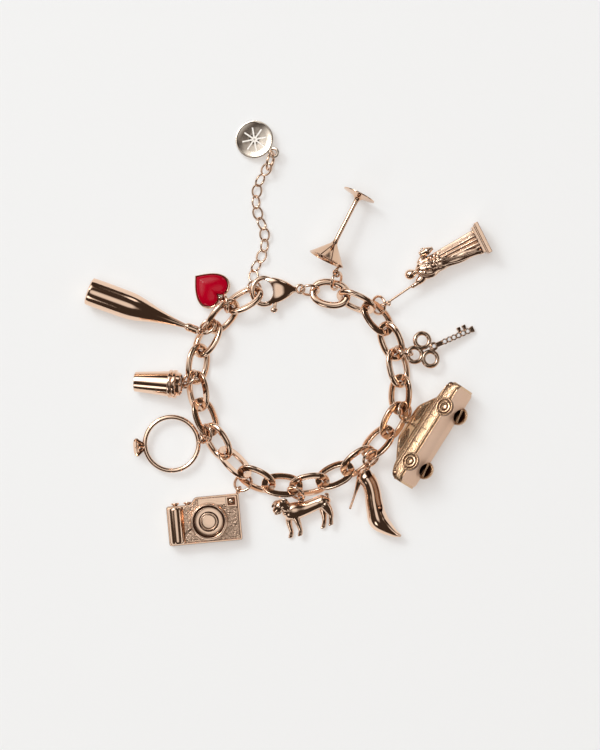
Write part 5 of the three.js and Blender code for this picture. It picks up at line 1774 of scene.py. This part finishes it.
class BRACELET_OT_tag(BraceletStep):
    """Make the round tag with its engraved star"""

    bl_idname = "bracelet.tag"
    bl_label = "Tag"

    def make(self):
        charm_piece(
            "star_tag", "tag", tag_form(), -125, [champagne(), painted_glint_cut()], (0, 7.15, 0.45),
            body_slot="champagne", diameter=3.5, wire=0.95,
        )


class BRACELET_OT_glass(BraceletStep):
    """Make the martini glass"""

    bl_idname = "bracelet.glass"
    bl_label = "Martini Glass"

    def make(self):
        charm_piece(
            "glass_charm", "martini_glass", glass_form(), 153.2, [shaded_glass_gold(), painted_shade_gold()],
            (-4.52, 23.9, 2.6), post=1.5,
        )


class BRACELET_OT_figure(BraceletStep):
    """Make the robed figure"""

    bl_idname = "bracelet.figure"
    bl_label = "Robed Figure"

    def make(self):
        charm_piece(
            "figure_charm", "statue_figure", figure_form(), 116.5, [carved_gold()],
            (-4.59, 35.77, 3.7), (0.15, -1, 0),
        )


class BRACELET_OT_key(BraceletStep):
    """Make the key and its stones"""

    bl_idname = "bracelet.key"
    bl_label = "Key"

    def make(self):
        place = charm_piece("key_charm", "key", key_form(), -66, [aged_gold()], sharp=34)
        stone = temporary(stone_shell(STONE_SIZE).moved(turn_about("X", 90)))
        height = KEY_THICKNESS + 0.36 - STONE_SIZE * 0.55
        frames = [place @ shift(0, y, height) for y in STONE_PLACES]
        values = {"Stone": stone, "Size": MM, "Finish": clear_stone()}
        made = grown("key_stones", frames, stones_tree(), values)
        bpy.data.objects.remove(stone)
        attached(made, "bracelet", [f"key_stone_{i}" for i in range(1, 8)])


class BRACELET_OT_car(BraceletStep):
    """Make the car"""

    bl_idname = "bracelet.car"
    bl_label = "Car"

    def make(self):
        shells, roll = car_form()
        ear = roll @ Vector((3.0, -0.5, 10.9))
        inward = roll.to_3x3() @ Vector((0, 0, -1))
        finishes = [cast_gold(), satin_gold(), painted_shade_gold(), window_gold()]
        charm_piece("car_charm", "car", shells, -32, finishes, tuple(ear), tuple(inward), 1.1)


class BRACELET_OT_shoe(BraceletStep):
    """Make the high-heeled shoe"""

    bl_idname = "bracelet.shoe"
    bl_label = "Shoe"

    def make(self):
        charm_piece(
            "shoe_charm", "shoe", shoe_form(), 0, [rose_gold()], (2.88, 21.72, 3.5), (-0.3, -1, 0), 1.0,
            sharp=50,
        )


class BRACELET_OT_dog(BraceletStep):
    """Make the dog"""

    bl_idname = "bracelet.dog"
    bl_label = "Dog"

    def make(self):
        charm_piece(
            "dog_charm", "dog", dog_form(), 15, [carved_gold(), painted_shade_gold()], (-1.36, 4.08, 2.3), sharp=60
        )


class BRACELET_OT_camera(BraceletStep):
    """Make the compact camera"""

    bl_idname = "bracelet.camera"
    bl_label = "Camera"

    def make(self):
        charm_piece(
            "camera_charm", "camera", camera_form(), 5.3, [cameras_gold(), stippled_gold(), painted_shade_gold()],
            (22.1, 14.8, 2.1), (-0.6, -0.8, 0), 1.2,
        )


class BRACELET_OT_finger_ring(BraceletStep):
    """Make the solitaire ring"""

    bl_idname = "bracelet.finger_ring"
    bl_label = "Solitaire Ring"

    def make(self):
        charm_piece(
            "solitaire_charm", "finger_ring", finger_ring_form(), 6, [rose_gold()],
            (9.65, 0, -0.39), (-1, 0, 0), sharp=19,
        )


class BRACELET_OT_cup(BraceletStep):
    """Make the take-away cup"""

    bl_idname = "bracelet.cup"
    bl_label = "Cup"

    def make(self):
        charm_piece("cup_charm", "cup", cup_form(), -93.5, [rose_gold()], (0, 15.1, 4.25))


class BRACELET_OT_bottle(BraceletStep):
    """Make the bottle"""

    bl_idname = "bracelet.bottle"
    bl_label = "Bottle"

    def make(self):
        charm_piece("bottle_charm", "bottle", bottle_form(), -110, [rose_gold()], (0, 36.1, 4.2))


class BRACELET_OT_heart(BraceletStep):
    """Make the heart and its enamel"""

    bl_idname = "bracelet.heart"
    bl_label = "Heart"

    def make(self):
        place = charm_piece(
            "heart_charm", "heart", heart_form(), -130, [rose_gold()], (0, 5.62, 1.425), (0, -1, -0.1), 0.7
        )
        at = place @ shift(0, 0, HEART_WALL + ENAMEL_GAP)
        piece(
            "enamel_dome", enamel_shell(), [red_enamel()], "bracelet", ["heart_enamel"], at, 60
        )


def glow(tree, way, towards, inner, outer, level):
    """A round soft glow of the room's wall, its edges at two angles from its middle."""
    near = vector_math(tree, "DOT_PRODUCT", way, Vector(towards).normalized())
    cosines = (math.cos(math.radians(angle)) for angle in (outer, inner))
    return spread_range(tree, near["Value"], *cosines, 0.0, level)


def softbox(tree, way, towards, wide, high, level):
    """A bright upright rectangle on the room's wall, its half sizes as tangents of their angles."""
    axis = Vector(towards).normalized()
    beside = Vector((0, 0, 1)).cross(axis).normalized()
    lines = (axis, beside, axis.cross(beside))
    reach = [vector_math(tree, "DOT_PRODUCT", way, line)["Value"] for line in lines]
    ahead = math_node(tree, "MAXIMUM", reach[0], 0.02)
    inside = level
    for across, half in zip(reach[1:], (wide, high)):
        share = math_node(tree, "ABSOLUTE", math_node(tree, "DIVIDE", across, ahead))
        edge = spread_range(tree, share, half * 1.1, half * 0.4)
        inside = math_node(tree, "MULTIPLY", edge, inside)
    return inside


def soft_world():
    """A dark warm room with a large softbox, weaker panels round it and a dim ceiling."""
    scene = bpy.context.scene
    world = bpy.data.worlds.new("Studio Room")
    world.use_nodes = True
    scene.world = world
    tree = world.node_tree
    way = tree.nodes.new("ShaderNodeTexCoord").outputs["Generated"]
    height = node_with(tree, "ShaderNodeSeparateXYZ", Vector=way).outputs["Z"]
    level = spread_range(tree, height, 0.935, 0.985, 0.0, 0.8)
    level = math_node(tree, "ADD", level, softbox(tree, way, (-0.5, 0.5, 0.7), 0.7, 0.36, 2.2))
    level = math_node(tree, "ADD", level, softbox(tree, way, (1.0, -0.25, 0.55), 0.5, 0.12, 1.5))
    for towards, inner, outer, strength in (((-0.8, -1.0, 0.95), 7, 11, 2.0), ((0.5, 1.0, 0.6), 6, 10, 1.2)):
        level = math_node(tree, "ADD", level, glow(tree, way, towards, inner, outer, strength))
    warm = spread_range(tree, level, 0.0, 0.4)
    background = tree.nodes["Background"]
    tree.links.new(blended(tree, warm, (1.0, 0.72, 0.55), (1.0, 0.985, 0.965)), background.inputs["Color"])
    tree.links.new(math_node(tree, "ADD", level, 0.045), background.inputs["Strength"])


def soft_light(name, location, target, size, power, colour=(1, 1, 1)):
    """A square soft light aimed at a point, all in metres."""
    light = bpy.data.lights.new(name, "AREA")
    light.shape, light.size, light.energy, light.color = "SQUARE", size, power, colour
    made = in_scene(name, light)
    made.location = location
    made.rotation_mode = "QUATERNION"
    made.rotation_quaternion = (Vector(target) - Vector(location)).to_track_quat("-Z", "Y")
    return made


class BRACELET_OT_stage(BraceletStep):
    """Make the floor, the soft lights and the overhead camera"""

    bl_idname = "bracelet.stage"
    bl_label = "Stage"

    def make(self):
        values = settings().stage
        self.floor(tuple(values.floor), tuple(values.board_glow))
        soft_world()
        centre = Vector((values.view_x, values.view_y, 0))
        soft_light("Key Light", (-1.6, 1.6, 2.5), centre, 0.9, values.key_power, (1.0, 0.985, 0.965))
        fill = soft_light("Fill Light", (-0.3, 0.3, 2.6), centre, 2.6, values.fill_power)
        fill.visible_glossy = False
        camera = bpy.data.cameras.new("Overhead")
        camera.sensor_width = 36
        camera.lens = 36 * values.height / values.view_height
        camera.clip_start, camera.clip_end = 0.01, 10
        made = in_scene("Overhead", camera)
        made.location = (values.view_x, values.view_y, values.height)
        bpy.context.scene.camera = made
        bpy.context.scene.view_settings.view_transform = "Standard"

    @staticmethod
    def floor(colour, board_glow):
        half = 1.5
        mesh = bpy.data.meshes.new("floor")
        corners = [(-half, -half, 0), (half, -half, 0), (half, half, 0), (-half, half, 0)]
        mesh.from_pydata(corners, [], [(0, 1, 2, 3)])
        made = in_scene("floor", mesh)
        finish, tree, shader, where = new_finish("Pale Board")
        grain = node_with(tree, "ShaderNodeTexNoise", Vector=where, Scale=900.0, Detail=4.0)
        tone = blended(tree, grain.outputs[0], tinted(colour, 0.985), colour)
        tree.links.new(tone, shader.inputs["Base Color"])
        rough = spread_range(tree, grain.outputs[0], 0.2, 0.8, 0.55, 0.65)
        tree.links.new(rough, shader.inputs["Roughness"])
        shader.inputs["Specular IOR Level"].default_value = 0.2
        shader.inputs["Emission Color"].default_value = (*board_glow, 1)
        shader.inputs["Emission Strength"].default_value = 1.0
        mesh.materials.append(finish)


STEPS = (
    BRACELET_OT_chain, BRACELET_OT_jump_rings, BRACELET_OT_extender, BRACELET_OT_clasp, BRACELET_OT_tag,
    BRACELET_OT_glass, BRACELET_OT_figure, BRACELET_OT_key, BRACELET_OT_car, BRACELET_OT_shoe,
    BRACELET_OT_dog, BRACELET_OT_camera, BRACELET_OT_finger_ring, BRACELET_OT_cup, BRACELET_OT_bottle,
    BRACELET_OT_heart, BRACELET_OT_stage,
)


class BRACELET_PT_panel(bpy.types.Panel):
    """Lists the bracelet's pieces and settings"""

    bl_label = "Charm Bracelet"
    bl_idname = "BRACELET_PT_panel"
    bl_space_type = "VIEW_3D"
    bl_region_type = "UI"
    bl_category = "Bracelet"

    def draw(self, context):
        for group in (settings().chain, settings().finishes, settings().stage):
            box = self.layout.box()
            for name in group.bl_rna.properties.keys():
                if name not in {"rna_type", "name"}:
                    box.prop(group, name)
        for step in STEPS:
            self.layout.operator(step.bl_idname)


CLASSES = (ChainSizes, Finishes, StageSettings, BraceletSettings, *STEPS, BRACELET_PT_panel)


def register():
    """Registers the classes and the scene's settings."""
    for item in CLASSES:
        bpy.utils.register_class(item)
    bpy.types.Scene.charm_bracelet = PointerProperty(type=BraceletSettings)


def unregister():
    """Takes them away again."""
    del bpy.types.Scene.charm_bracelet
    for item in reversed(CLASSES):
        bpy.utils.unregister_class(item)


def main():
    """Makes the whole bracelet and its stage."""
    register()
    for step in STEPS:
        call = getattr(bpy.ops.bracelet, step.bl_idname.split(".")[1])
        if call() != {"FINISHED"}:
            raise RuntimeError(f"{step.bl_label} was not made")


if __name__ == "__main__":
    main()
